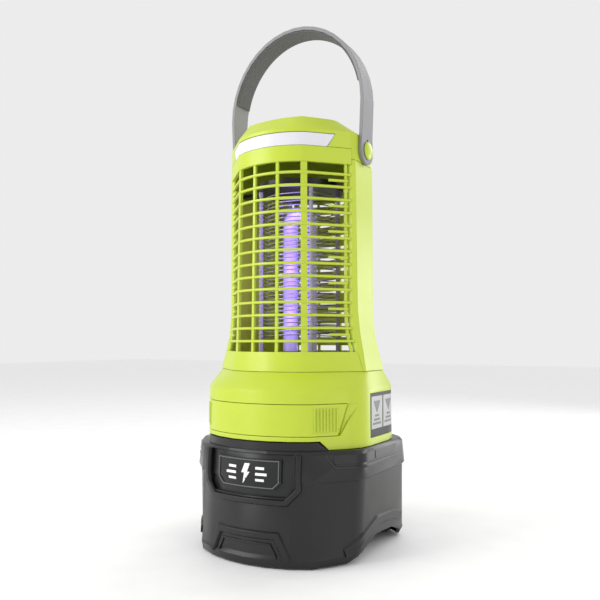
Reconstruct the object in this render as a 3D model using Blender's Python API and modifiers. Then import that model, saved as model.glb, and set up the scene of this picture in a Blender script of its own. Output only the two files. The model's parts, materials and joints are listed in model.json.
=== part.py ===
"""Cordless electric bug zapper: a lime tower with two grilles round a high-voltage coil and a UV tube,
a pull-out insect tray, a dark battery base and a rubber carrying strap.

Units are metres. +Z is up, the front (grille, tray and badge) faces -Y, and the origin is on the floor
under the tower's axis.
"""

import math

import bmesh
import bpy
from mathutils import Matrix, Vector

MM = 0.001
GAP = 0.3 * MM  # air left between pieces that touch

# ---- overall heights, stacked from the floor up ----
FOOT_RAISE = 1.0 * MM  # the base's own bottom edge above the floor
BASE_TOP = 82.0 * MM  # top of the dark base at its sides
FRONT_RAISE = 6.0 * MM  # how much higher the base's front reaches
HOUSING_HEIGHT = 42.0 * MM  # from the base's top to the edge of the shoulder
FLARE_HEIGHT = 13.4 * MM  # from the shoulder's edge to the foot of the grilles
SILL_HEIGHT = 15.0 * MM  # solid strip under the grille's windows
HEADER_HEIGHT = 12.0 * MM  # solid strip over them
CAP_HEIGHT = 12.0 * MM  # the head's rounded top

# ---- walls ----
SHELL_WALL = 2.5 * MM
BASE_WALL = 3.0 * MM
GRILLE_WALL = 3.0 * MM

# ---- grille ----
BAR_COUNT = 14
BAR_THICK = 1.7 * MM
REAR_BAR_THICK = 7.4 * MM  # the rear grille has deep slats with narrow slots between them
BAR_PITCH = 9.8 * MM
BAR_MARGIN = 8.1 * MM  # from the window's foot to the first bar, and from the last one to its head
BAR_SET_BACK = 0.6 * MM  # bars stop this far short of the grille's inner face
SHORT_BAR_SET_BACK = 0.4 * MM
UPRIGHT_WIDTH = 2.4 * MM
UPRIGHT_SET_BACK = 0.5 * MM
CORNER_BAR = 3.0 * MM  # each leg of the L-shaped corner upright
END_STRIP = 2.2 * MM
SHORT_BAR_START = 0.52  # share of the side window where the short bars begin
PILLAR_EDGE = 18.0 * MM  # how far forward of the axis a side pillar reaches
REAR_SEAM = 4.5 * MM  # from each rear corner to the seam between pillar and rear grille

# ---- tray ----
TRAY_RAISE = 10.2 * MM  # tray above the base's top
TRAY_HEIGHT = 22.8 * MM
TRAY_HALF_TOP = 62.0 * MM
TRAY_HALF_FOOT = 57.4 * MM
TRAY_BIN_INSET = 7.0 * MM  # bin's side inside the tray face's foot
TRAY_BACK = 38.0 * MM
TRAY_WALL = 2.2 * MM
FINGER_DEEP = 1.5 * MM
FINGER_WIDTH = 6.0 * MM
FINGER_FOOT = 1.5 * MM
RIB_COUNT = 8
RIB_PITCH = 2.5 * MM
RIB_MARGIN = 3.0 * MM
RIB_FOOT_HALF = 0.6 * MM
RIB_CREST_HALF = 0.4 * MM
RIB_ROOT = 0.8 * MM
RIB_PROUD = 0.9 * MM

# ---- electrodes and lamp ----
COIL_RADIUS = 30.0 * MM
COIL_TURNS = 18
COIL_STEPS = 8
COIL_RAISE = 14.8 * MM  # first turn above the lower carrier
WIRE_RADIUS = 0.55 * MM
POST_COUNT = 4
POST_RADIUS = 1.8 * MM
POST_DROP = 13.9 * MM  # post tops below the window's head
CARRIER_THICK = 8.0 * MM
UPPER_CARRIER_THICK = 5.6 * MM
CARRIER_RIM = 1.5 * MM  # carrier edge outside the posts
DROP_HOLE = 5.0 * MM
DROP_HOLES = 8
DROP_RIM = 3.0 * MM  # carrier's bearing on the housing round the drop opening
ARM_HALF = 6.0 * MM
ARM_THICK = 3.0 * MM
TUBE_RADIUS = 6.5 * MM
TUBE_GAP = 5.0 * MM  # between the two legs of the lamp
TUBE_STEPS = 10
LAMP_AIR = 10.1 * MM  # from the lamp's top to the upper carrier
SOCKET_HEIGHT = 6.0 * MM
LEAD_X = 6.0 * MM
LEAD_RADIUS = 0.8 * MM

# ---- lens ----
LENS_HEIGHT = 10.0 * MM
LENS_MARGIN = 3.0 * MM  # from the lens up to the head's rounded top
LENS_HALF_FOOT = 42.0 * MM
LENS_HALF_TOP = 46.6 * MM
LENS_WALL = 2.0 * MM
LENS_CLEARANCE = 0.5 * MM
LIGHT_BOARD_HALF = 28.0 * MM
LIGHT_BOARD_FACE = -40.0 * MM
CHIP_COUNT = 5
CHIP_PITCH = 11.0 * MM
CHIP_SIZE = 3.5 * MM
CHIP_DEEP = 2.0 * MM

# ---- strap ----
PIVOT_RAISE = 2.0 * MM  # strap studs above the lens's foot
SKIRT_DROP = 10.0 * MM  # the head's side skirts reach this far below the studs
STRAP_THICK = 2.8 * MM
STRAP_WIDTH = 20.0 * MM
GRIP_THICK = 1.6 * MM
GRIP_INSET = 1.0 * MM  # grip's edge inside the strap's, on each side
GRIP_RAISE = 12.0 * MM  # grip's ends above the foot of the arch
SLIT_HALF = 1.0 * MM
SLIT_REACH = 5.0 * MM  # slit above the stud's hole
STRAP_ARCH_HALF = 62.4 * MM  # outer half width of the arch
STRAP_LEG_HEIGHT = 40.0 * MM  # from the pivot up to where the arch begins
STRAP_ARCH_RISE = 68.5 * MM
STRAP_LEG_IN = 58.5 * MM  # inner face of a leg at the pivot
STRAP_END_RADIUS = 11.0 * MM
STUD_SHAFT = 4.0 * MM
STUD_HEAD = 7.0 * MM
STUD_CLEARANCE = 0.4 * MM

# ---- battery ----
PACK_HALF_WIDTH = 37.5 * MM
PACK_FRONT = -35.0 * MM
PACK_JOIN = 65.7 * MM  # where the case meets its end cover
PACK_BACK = 79.0 * MM
PACK_HEIGHT = 40.5 * MM
RAIL_HALF = 24.0 * MM
RAIL_BACK = 40.0 * MM
RAIL_HEIGHT = 8.0 * MM
BAY_CLEARANCE = 0.7 * MM
CONTACT_X = 12.0 * MM
BLADE_THICK = 1.0 * MM
BLADE_HEIGHT = 3.0 * MM
LATCH_HALF = 34.0 * MM
LATCH_THICK = 4.0 * MM
LATCH_HEIGHT = 8.0 * MM
LATCH_TRAVEL = 3.0 * MM
LATCH_TOOTH = 4.0 * MM
TOOTH_HALF = 2.0 * MM
TOOTH_INSET = 3.0 * MM
LATCH_BUTTON = 12.0 * MM
BAY_MOUTH = 40.0 * MM  # the bay's openings cut the rear wall from here outwards
CASE_BEVEL = 2.0 * MM
PACK_EDGE = 1.5 * MM  # softened edges of the end cover
BLADE_REACH = 18.0 * MM  # contact blades into the pack
BLOCK_DEPTH = 10.0 * MM

# ---- base ----
FLOOR_THICK = 2.5 * MM
FLOOR_FOOT = 16.0 * MM
DECK_THICK = 3.0 * MM
DECK_HOLE_Y = 56.0 * MM  # where the battery's leads pass up to the circuit board
DECK_HOLE_RADIUS = 4.0 * MM
RECESS_DEEP = 2.5 * MM
BADGE_HALF = 27.5 * MM
BADGE_DROP = 5.7 * MM  # badge's top below the base's
BADGE_HEIGHT = 21.5 * MM
BADGE_CUT = 5.0 * MM  # badge's cut lower corners
BADGE_SINK = 0.7 * MM
BADGE_MARGIN = 5.0 * MM
SEAM_DROP = 22.0 * MM  # the base's belt seam below its top
LIP_HALF = 48.0 * MM
LIP_CLEARANCE = 0.7 * MM
COVER_CLEARANCE = 0.6 * MM  # round the bottom cover

# ---- controls, label and fasteners ----
BUTTON_X = 13.0 * MM
BUTTON_RAISE = 22.0 * MM  # buttons above the base's top
BUTTON_RADIUS = 6.5 * MM
BUTTON_FLANGE = 1.5 * MM
BUTTON_PROUD = 1.6 * MM
BUTTON_EDGE = 1.2 * MM
BUTTON_AIR = 0.9 * MM  # from the housing's slanting inner face to the flange's outer edge
BUTTON_STROKE = 1.5 * MM
FLANGE_THICK = 2.0 * MM
BOARD_FACE = 46.0 * MM
BOARD_THICK = 1.6 * MM
LABEL_FRONT = -17.0 * MM
LABEL_BACK = 30.0 * MM
LABEL_RAISE = 6.0 * MM  # label above the base's top
LABEL_HEIGHT = 33.0 * MM
LABEL_THICK = 0.5 * MM
SCREW_X = 52.0 * MM
SCREW_Y = 40.0 * MM
SCREW_RADIUS = 1.8 * MM
SCREW_CLEARANCE = 0.5 * MM
SCREW_HEAD_RADIUS = 3.6 * MM
SCREW_LENGTH = 16.0 * MM
BOSS_RADIUS = 4.5 * MM
FOOT_RADIUS = 8.0 * MM
PAD_RADIUS = 6.0 * MM
PAD_HEIGHT = 2.6 * MM
FRONT_FOOT = (36.0 * MM, -62.0 * MM)
REAR_FOOT = (50.0 * MM, 52.0 * MM)

ARC_STEPS = 6
GRILLE_STEPS = 3  # the grille's front is three flats, one for each column of windows
LEVEL = ("start", "end")  # both ends of an open outline
FAR = 95.0 * MM  # cutters reach this far out, well past the housing
SLIVER = 0.05 * MM  # keeps two joined faces from lying in one plane

# ---- sizes that follow from the ones above ----
SHOULDER = BASE_TOP + HOUSING_HEIGHT
FLARE_TOP = SHOULDER + FLARE_HEIGHT
WINDOW_FOOT = FLARE_TOP + SILL_HEIGHT
FIRST_BAR = WINDOW_FOOT + BAR_MARGIN
WINDOW_HEAD = FIRST_BAR + BAR_PITCH * (BAR_COUNT - 1) + BAR_MARGIN
LENS_FOOT = WINDOW_HEAD + HEADER_HEIGHT
LENS_HEAD = LENS_FOOT + LENS_HEIGHT
HEAD_BEVEL = LENS_HEAD + LENS_MARGIN
HEAD_TOP = HEAD_BEVEL + CAP_HEIGHT
PIVOT_Z = LENS_FOOT + PIVOT_RAISE
SKIRT_FOOT = PIVOT_Z - SKIRT_DROP
STRAP_ARCH_FOOT = PIVOT_Z + STRAP_LEG_HEIGHT
TRAY_FOOT = BASE_TOP + TRAY_RAISE
TRAY_HEAD = TRAY_FOOT + TRAY_HEIGHT
LABEL_FOOT = BASE_TOP + LABEL_RAISE
LABEL_HEAD = LABEL_FOOT + LABEL_HEIGHT
BADGE_HEAD = BASE_TOP - BADGE_DROP
BADGE_FOOT = BADGE_HEAD - BADGE_HEIGHT
BUTTON_Z = BASE_TOP + BUTTON_RAISE
BUTTON_NAMES = {"left": "light_button", "right": "power_button"}
DECK_FOOT = BASE_TOP - DECK_THICK
PACK_FOOT = FLOOR_FOOT + FLOOR_THICK + BAY_CLEARANCE
PACK_TOP = PACK_FOOT + PACK_HEIGHT
POST_CIRCLE = COIL_RADIUS + WIRE_RADIUS + POST_RADIUS + 2.0 * GAP
CARRIER_RADIUS = POST_CIRCLE + POST_RADIUS + CARRIER_RIM
CARRIER_FOOT = FLARE_TOP + GAP
CARRIER_TOP = CARRIER_FOOT + CARRIER_THICK
COIL_FOOT = CARRIER_TOP + COIL_RAISE
POST_TOP = WINDOW_HEAD - POST_DROP
COIL_PITCH = (POST_TOP - COIL_FOOT) / (COIL_TURNS + 1)
LAMP_FOOT = CARRIER_TOP + SOCKET_HEIGHT + 2 * GAP
LAMP_TOP = POST_TOP + GAP - LAMP_AIR


def section(height, *sizes):
    """One row of a section table: a height, and the plan sizes there in millimetres."""
    return (height, *[size * MM for size in sizes])


# Plan sections of the tower: height, half width, where the flat side ends in Y, the front corner, the
# front's crown, and how soft the side corner is. The back mirrors the front.
TOWER = [
    section(BASE_TOP, 71.0, 30.0, 44.0, 62.0, 75.5, 12.0),
    section(SHOULDER, 70.6, 29.6, 43.6, 61.4, 74.8, 12.0),
    section(SHOULDER + 2.6 * MM, 69.9, 29.0, 42.2, 59.8, 73.0, 11.0),
    section(FLARE_TOP, 67.3, 17.0, 33.0, 49.6, 58.6, 5.0),
    section(WINDOW_FOOT - 0.4 * MM, 64.2, 15.0, 31.2, 47.6, 56.4, 4.0),
    section(WINDOW_FOOT + 13.6 * MM, 61.2, 14.0, 31.0, 47.3, 56.1, 4.0),
    section(WINDOW_FOOT + 31.6 * MM, 59.4, 14.5, 30.8, 47.0, 55.8, 4.0),
    section(HEAD_BEVEL + MM, 58.0, 16.5, 29.6, 45.4, 54.0, 4.0),
]
RIM = section(HEAD_TOP, 41.5, 17.0, 24.2, 38.2, 42.0, 4.0)
# Plan sections of the base: height, half width, front end of the flat side, rear end of the flat side,
# front corner, crown, softness.
BASE = [
    section(FOOT_RAISE, 68.0, 38.0, 50.0, 48.0, 66.0, 80.2, 6.0),
    section(FOOT_RAISE + 5.5 * MM, 71.0, 38.0, 51.0, 49.0, 66.6, 81.5, 6.0),
    section(FOOT_RAISE + 8.0 * MM, 70.5, 38.0, 51.0, 48.4, 66.2, 79.8, 6.0),
    section(BASE_TOP - SEAM_DROP, 73.0, 37.0, 46.0, 48.0, 66.0, 79.4, 7.0),
    section(BASE_TOP - SEAM_DROP + 1.5 * MM, 75.0, 38.0, 46.0, 48.6, 66.6, 80.0, 7.0),
    section(BASE_TOP - 2.5 * MM, 74.0, 36.0, 44.0, 47.6, 65.8, 79.0, 8.0),
    section(BASE_TOP, 72.6, 34.0, 42.0, 46.2, 64.4, 77.6, 8.0),
]
# The outline of the arches cut through the base's lower sides, in Y and Z.
ARCH = [(-47 * MM, -MM), (-36 * MM, 6.5 * MM), (-7 * MM, 14.5 * MM), (24 * MM, 12.5 * MM),
        (40 * MM, 7 * MM), (50 * MM, -MM)]


def clear_scene():
    for obj in list(bpy.data.objects):
        bpy.data.objects.remove(obj)


def new_collection(name, hidden=False):
    made = bpy.data.collections.new(name)
    bpy.context.scene.collection.children.link(made)
    made.hide_render = hidden
    return made


def material(name, colour, roughness, metallic=0.0, alpha=1.0):
    made = bpy.data.materials.new(name)
    made.use_nodes = True
    shader = made.node_tree.nodes["Principled BSDF"]
    shader.inputs["Base Color"].default_value = (*colour, 1.0)
    shader.inputs["Roughness"].default_value = roughness
    shader.inputs["Metallic"].default_value = metallic
    shader.inputs["Alpha"].default_value = alpha
    return made


clear_scene()
PARTS = new_collection("bug_zapper")
CUTTERS = new_collection("cutters", hidden=True)
LIME = material("lime_plastic", (0.56, 0.71, 0.04), 0.35)
BLACK = material("black_plastic", (0.028, 0.028, 0.03), 0.42)
WHITE = material("white_lens", (0.86, 0.86, 0.86), 0.25, alpha=0.85)
STRAP = material("grey_rubber", (0.32, 0.32, 0.33), 0.6)
GRIP = material("dark_rubber", (0.13, 0.13, 0.135), 0.75)
WIRE = material("electrode_wire", (0.7, 0.7, 0.72), 0.25, metallic=1.0)
GLASS = material("uv_glass", (0.45, 0.36, 0.9), 0.1, alpha=0.7)
BOARD = material("circuit_board", (0.02, 0.2, 0.08), 0.5)
RUBBER = material("foot_rubber", (0.03, 0.03, 0.03), 0.85)
STEEL = material("screw_steel", (0.5, 0.5, 0.52), 0.35, metallic=1.0)
COPPER = material("lead_insulation", (0.5, 0.03, 0.03), 0.5)
LABEL = material("label_film", (0.05, 0.05, 0.055), 0.4)


# ---------------------------------------------------------------- shape helpers
def finish(name, bm, mat, cutter=False):
    bmesh.ops.recalc_face_normals(bm, faces=bm.faces)
    mesh = bpy.data.meshes.new(name)
    bm.to_mesh(mesh)
    bm.free()
    mesh.shade_smooth()
    mesh.set_sharp_from_angle(angle=math.radians(28))
    obj = bpy.data.objects.new(name, mesh)
    (CUTTERS if cutter else PARTS).objects.link(obj)
    if cutter:
        obj.hide_render = True
        obj.display_type = "WIRE"
    else:
        mesh.materials.append(mat)
    return obj


def add_loft(bm, rings):
    """A closed solid through rings with the same number of points, capped at both ends."""
    made = [[bm.verts.new(p) for p in ring] for ring in rings]
    count = len(made[0])
    for low, high in zip(made, made[1:]):
        for i in range(count):
            j = (i + 1) % count
            bm.faces.new((low[i], low[j], high[j], high[i]))
    bm.faces.new(list(reversed(made[0])))
    bm.faces.new(made[-1])


def loft(name, rings, mat=None):
    bm = bmesh.new()
    add_loft(bm, rings)
    return finish(name, bm, mat, cutter=mat is None)


def box(name, low, high, mat=None, bevel=0.0):
    bm = bmesh.new()
    size = Vector(high) - Vector(low)
    centre = (Vector(high) + Vector(low)) / 2
    bmesh.ops.create_cube(bm, size=1.0, matrix=Matrix.Translation(centre) @ Matrix.Diagonal((*size, 1.0)))
    if bevel:
        bmesh.ops.bevel(bm, geom=bm.edges[:], offset=bevel, segments=1, affect="EDGES")
    return finish(name, bm, mat, cutter=mat is None)


def cylinder(name, centre, axis, radius, length, mat=None, sides=24, top_radius=None, bevel=0.0):
    """A cylinder or cone that starts at centre and runs length along axis."""
    bm = bmesh.new()
    turn = Vector((0, 0, 1)).rotation_difference(Vector(axis)).to_matrix().to_4x4()
    place = Matrix.Translation(Vector(centre) + Vector(axis).normalized() * (length / 2)) @ turn
    end_radius = radius if top_radius is None else top_radius
    bmesh.ops.create_cone(bm, cap_ends=True, segments=sides, radius1=radius, radius2=end_radius,
                          depth=length, matrix=place)
    if bevel:
        rims = [e for e in bm.edges if any(len(f.verts) > 4 for f in e.link_faces)]
        bmesh.ops.bevel(bm, geom=rims, offset=bevel, segments=2, affect="EDGES")
    return finish(name, bm, mat, cutter=mat is None)


def boolean(obj, other, operation="DIFFERENCE"):
    made = obj.modifiers.new(operation.title(), "BOOLEAN")
    made.operation = operation
    made.object = other
    made.solver = "EXACT"
    return obj


def prism_y(name, outline, y_from, y_to, mat=None):
    """An XZ outline drawn out along Y."""
    return loft(name, [[(x, y, z) for x, z in outline] for y in (y_from, y_to)], mat)


def prism_x(name, outline, x_from, x_to, mat=None):
    """A YZ outline drawn out along X."""
    return loft(name, [[(x, y, z) for y, z in outline] for x in (x_from, x_to)], mat)


def tube(name, points, radius, mat, resolution=1, smooth=True):
    curve = bpy.data.curves.new(name, "CURVE")
    curve.dimensions = "3D"
    curve.bevel_depth = radius
    curve.bevel_resolution = resolution
    curve.use_fill_caps = True
    spline = curve.splines.new("POLY")
    spline.points.add(len(points) - 1)
    for slot, point in zip(spline.points, points):
        slot.co = (*point, 1.0)
    spline.use_smooth = smooth
    curve.materials.append(mat)
    obj = bpy.data.objects.new(name, curve)
    PARTS.objects.link(obj)
    return obj


def smooth_path(points, per_span=5):
    """Catmull-Rom points through a few chosen ones."""
    given = [Vector(p) for p in points]
    given = [2 * given[0] - given[1]] + given + [2 * given[-1] - given[-2]]
    path = []
    for a, b, c, d in zip(given, given[1:], given[2:], given[3:]):
        for i in range(per_span):
            t = i / per_span
            path.append(0.5 * (2 * b + (c - a) * t + (2 * a - 5 * b + 4 * c - d) * t * t
                               + (3 * b - 3 * c + d - a) * t ** 3))
    path.append(given[-2])
    return path


# ---------------------------------------------------------------- plan curves
def arc_through(half, corner_y, crown_y, steps):
    """Points from (-half, corner_y) through (0, crown_y) to (half, corner_y), on a circle."""
    rise = abs(crown_y - corner_y)
    radius = (half * half + rise * rise) / (2 * rise)
    reach = math.asin(half / radius)
    outward = math.copysign(1.0, crown_y)
    centre_y = crown_y - outward * radius
    made = []
    for i in range(steps + 1):
        angle = -reach + 2 * reach * i / steps
        made.append(Vector((radius * math.sin(angle), centre_y + outward * radius * math.cos(angle))))
    return made


def soft_corner(before, corner, after, size, steps=2):
    start = corner + (before - corner).normalized() * size
    end = corner + (after - corner).normalized() * size
    made = []
    for i in range(steps + 1):
        t = i / steps
        made.append((1 - t) ** 2 * start + 2 * t * (1 - t) * corner + t * t * end)
    return made


def closed_plan(side, flat_front, flat_back, corner, crown, soft, back_crown=None):
    """An eight-sided plan with bowed front and back, anticlockwise from the right side's front end."""
    corner_x, corner_y = corner
    back_crown = crown if back_crown is None else back_crown
    front = arc_through(corner_x, -corner_y, -crown, ARC_STEPS)
    back = arc_through(corner_x, corner_y, back_crown, ARC_STEPS)[::-1]
    right_front, right_back = Vector((side, -flat_front)), Vector((side, flat_back))
    left_back, left_front = Vector((-side, flat_back)), Vector((-side, -flat_front))
    made = soft_corner(front[-1], right_front, right_back, soft)
    made += soft_corner(right_front, right_back, back[0], soft)
    made += back
    made += soft_corner(back[-1], left_back, left_front, soft)
    made += soft_corner(left_back, left_front, front[0], soft)
    made += front
    return made


def at_height(rows, z):
    """The section of a list at height z, between its rows."""
    for low, high in zip(rows, rows[1:]):
        if low[0] <= z <= high[0]:
            t = (z - low[0]) / (high[0] - low[0])
            return [a + (b - a) * t for a, b in zip(low, high)]
    return list(rows[-1] if z > rows[-1][0] else rows[0])


def tower_plan(z):
    _, side, flat, corner_x, corner_y, crown, soft = at_height(TOWER, z)
    return closed_plan(side, flat, flat, (corner_x, corner_y), crown, soft)


def rim_plan():
    _, side, flat, corner_x, corner_y, crown, soft = RIM
    return closed_plan(side, flat, flat, (corner_x, corner_y), crown, soft)


def base_plan(z):
    _, side, front, back, corner_x, corner_y, crown, soft = at_height(BASE, z)
    return closed_plan(side, front, back, (corner_x, corner_y), crown, soft)


def inset(points, distance):
    """A closed anticlockwise outline moved inwards."""
    made = []
    for i, here in enumerate(points):
        before, after = points[i - 1], points[(i + 1) % len(points)]
        one, two = (here - before).normalized(), (after - here).normalized()
        inward = Vector((-one.y - two.y, one.x + two.x))
        inward = inward.normalized() / max(0.5, math.sqrt((1 + one.dot(two)) / 2))
        made.append(here + inward * distance)
    return made


def ring(points, z):
    return [(p.x, p.y, z) for p in points]


def half_path(section, facing, steps, end_y):
    """The open outline of one half of a section, from its left side round to its right side. It stops
    at end_y on the slanted faces. facing is -1 for the front and 1 for the back."""
    side, flat, corner_x, corner_y, crown = section
    run = (end_y - flat) / (corner_y - flat)
    end_x = side + (corner_x - side) * run
    path = [Vector((-end_x, facing * end_y))]
    path += arc_through(corner_x, facing * corner_y, facing * crown, steps)
    path.append(Vector((end_x, facing * end_y)))
    return path


def tower_path(z, steps=ARC_STEPS):
    """The tower's front outline, from pillar to pillar, or from side to side where there is no pillar."""
    _, side, flat, corner_x, corner_y, crown, _ = at_height(TOWER, z)
    return half_path((side, flat, corner_x, corner_y, crown), -1, steps, max(flat, PILLAR_EDGE + GAP))


def rear_path(z, back_off=0.0):
    """The tower's rear outline, ending a little past its corners."""
    _, side, flat, corner_x, corner_y, crown, _ = at_height(TOWER, z)
    slant = math.hypot(side - corner_x, corner_y - flat)
    end_y = corner_y - (REAR_SEAM + back_off) * (corner_y - flat) / slant
    return half_path((side, flat, corner_x, corner_y, crown), 1, GRILLE_STEPS, end_y)


def base_path(z):
    _, side, flat, _, corner_x, corner_y, crown, _ = at_height(BASE, z)
    return half_path((side, flat, corner_x, corner_y, crown), -1, ARC_STEPS, flat)


def offset_open(path, distance, facing, level_ends=()):
    """An open outline moved towards the axis. Its level ends keep their Y, to meet a face square to Y."""
    made = []
    last = len(path) - 1
    for i, here in enumerate(path):
        one = (here - path[i - 1]).normalized() if i else (path[1] - here).normalized()
        two = (path[i + 1] - here).normalized() if i < last else one
        inward = Vector((one.y + two.y, -one.x - two.x)) * facing
        inward = inward.normalized() / max(0.5, math.sqrt((1 + one.dot(two)) / 2))
        if (i == 0 and "start" in level_ends) or (i == last and "end" in level_ends):
            inward = Vector((1 / inward.x, 0.0))
        made.append(here + inward * distance)
    return made


def band_ring(path, outer, inner, facing, z, level_ends=()):
    """A C-shaped ring: the path moved in by outer, then back along it moved in by inner."""
    return ring(offset_open(path, outer, facing, level_ends)
                + offset_open(path, inner, facing, level_ends)[::-1], z)


def levels(rows, foot, head):
    """Heights from foot to head, with every section height between them."""
    between = [row[0] for row in rows if foot + GAP < row[0] < head - GAP]
    return [foot] + between + [head]


def band(name, path_at, rows, foot, head, outer, inner, facing=-1, mat=None):
    """A curved wall that follows path_at from foot to head, between two depths below the surface."""
    heights = levels(rows, foot, head)
    ends = LEVEL if facing < 0 else ()
    return loft(name, [band_ring(path_at(z), outer, inner, facing, z, ends) for z in heights], mat)


def trapezoid(half_foot, foot, half_head, head, grow=0.0):
    return [(-half_foot - grow, foot - grow), (half_foot + grow, foot - grow),
            (half_head + grow, head + grow), (-half_head - grow, head + grow)]


def turned(name, place, axis, profile, mat, steps=24):
    """A turned piece: the profile's (radius, height) points run from the top to the foot."""
    bm = bmesh.new()
    points = [bm.verts.new((radius, 0.0, height)) for radius, height in profile]
    for above, below in zip(points, points[1:]):
        bm.edges.new((above, below))
    mesh = bpy.data.meshes.new(name)
    bm.to_mesh(mesh)
    bm.free()
    mesh.materials.append(mat)
    obj = bpy.data.objects.new(name, mesh)
    PARTS.objects.link(obj)
    obj.location = place
    obj.rotation_euler = Vector((0, 0, 1)).rotation_difference(Vector(axis)).to_euler()
    screw = obj.modifiers.new("Turn", "SCREW")
    screw.steps = steps
    screw.render_steps = steps
    screw.use_merge_vertices = True
    screw.merge_threshold = 0.00001
    return obj


def stretch(path, start, end):
    """The part of an open path between two distances along it."""
    made = []
    walked = 0.0
    for here, after in zip(path, path[1:]):
        length = (after - here).length
        for mark in (start, end):
            if walked <= mark < walked + length:
                made.append((mark, here.lerp(after, (mark - walked) / length)))
        walked += length
        if start < walked < end:
            made.append((walked, after))
    if end >= walked:
        made.append((end, path[-1]))
    return [point for _, point in sorted(made, key=lambda pair: pair[0])]


def distance_at(path, index):
    return sum((b - a).length for a, b in zip(path[:index], path[1:index + 1]))


# ---------------------------------------------------------------- dark base
def base_housing():
    foot = FOOT_RAISE
    heights = levels(BASE, foot, BASE_TOP)
    body = loft("base_housing", [ring(base_plan(z), z) for z in heights], BLACK)
    inner = levels(BASE, FOOT_RAISE, BASE_TOP - DECK_THICK)
    hollow = [ring(inset(base_plan(z), BASE_WALL), z) for z in inner]
    hollow[0] = ring(inset(base_plan(foot), BASE_WALL), foot - 1.0 * MM)
    boolean(body, loft("base_hollow", hollow))
    for side_name, x, y in corner_places(FRONT_FOOT, REAR_FOOT):
        post = cylinder(f"foot_post_{side_name}", (x, y, foot), (0, 0, 1), FOOT_RADIUS,
                        FLOOR_FOOT - GAP - foot, sides=12)
        boolean(body, post, "UNION")
        pocket = cylinder(f"pad_pocket_{side_name}", (x, y, -MM), (0, 0, 1), PAD_RADIUS + GAP,
                          PAD_HEIGHT + GAP + MM, sides=16)
        boolean(body, pocket)
    floor_top = FLOOR_FOOT + FLOOR_THICK + GAP
    for side_name, x, y in corner_places((SCREW_X, -SCREW_Y), (SCREW_X, SCREW_Y)):
        boss = cylinder(f"screw_boss_{side_name}", (x, y, floor_top), (0, 0, 1), BOSS_RADIUS,
                        BASE_TOP - DECK_THICK / 2 - floor_top, sides=10)
        boolean(body, boss, "UNION")
        hole = cylinder(f"screw_hole_{side_name}", (x, y, floor_top - MM), (0, 0, 1),
                        SCREW_RADIUS + SCREW_CLEARANCE, SCREW_LENGTH, sides=10)
        boolean(body, hole)
    boolean(body, prism_x("side_arches", ARCH, -FAR, FAR))
    bay = box("pack_opening", (-PACK_HALF_WIDTH - BAY_CLEARANCE, BAY_MOUTH, PACK_FOOT - GAP),
              (PACK_HALF_WIDTH + BAY_CLEARANCE, FAR, PACK_TOP + BAY_CLEARANCE))
    boolean(body, bay)
    rail = box("rail_opening", (-RAIL_HALF - BAY_CLEARANCE, BAY_MOUTH, PACK_TOP - MM),
               (RAIL_HALF + BAY_CLEARANCE, FAR, PACK_TOP + RAIL_HEIGHT + BAY_CLEARANCE))
    boolean(body, rail)
    for side_name, side in (("left", -1), ("right", 1)):
        x = side * (LATCH_HALF - TOOTH_INSET)
        half = TOOTH_HALF + BAY_CLEARANCE
        boolean(body, box(f"tooth_channel_{side_name}", (x - half, BAY_MOUTH, PACK_TOP - MM),
                          (x + half, FAR, PACK_TOP + LATCH_TOOTH + BAY_CLEARANCE)))
    recess = band("badge_recess", base_path, BASE, BADGE_FOOT - BADGE_MARGIN,
                  BADGE_HEAD + BADGE_MARGIN * 0.8, -3 * MM, RECESS_DEEP)
    window = prism_y("badge_window", badge_outline(BADGE_MARGIN * 1.7), -FAR, -40 * MM)
    boolean(recess, window, "INTERSECT")
    boolean(body, recess)
    lip_head = BASE_TOP + FRONT_RAISE
    lip = band("front_lip", tower_path, TOWER, BASE_TOP - MM, lip_head, -0.8 * MM, BASE_WALL)
    lip_outline = trapezoid(LIP_HALF + FRONT_RAISE, BASE_TOP - MM, LIP_HALF, lip_head)
    boolean(lip, prism_y("lip_outline", lip_outline, -FAR, -20 * MM), "INTERSECT")
    boolean(body, lip, "UNION")
    lead_hole = cylinder("deck_hole", (0, DECK_HOLE_Y, BASE_TOP - 2 * DECK_THICK), (0, 0, 1),
                         DECK_HOLE_RADIUS, 4 * DECK_THICK, sides=16)
    boolean(body, lead_hole)


def corner_places(front, rear):
    return [("front_left", -front[0], front[1]), ("front_right", front[0], front[1]),
            ("rear_left", -rear[0], rear[1]), ("rear_right", rear[0], rear[1])]


def badge_outline(grow):
    """The badge's shield outline: straight top, lower corners cut off."""
    half, foot, head = BADGE_HALF + grow, BADGE_FOOT - grow, BADGE_HEAD + grow
    cut_foot = foot + BADGE_CUT
    return [(-half + BADGE_CUT, foot), (half - BADGE_CUT, foot), (half, cut_foot), (half, head),
            (-half, head), (-half, cut_foot)]


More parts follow.
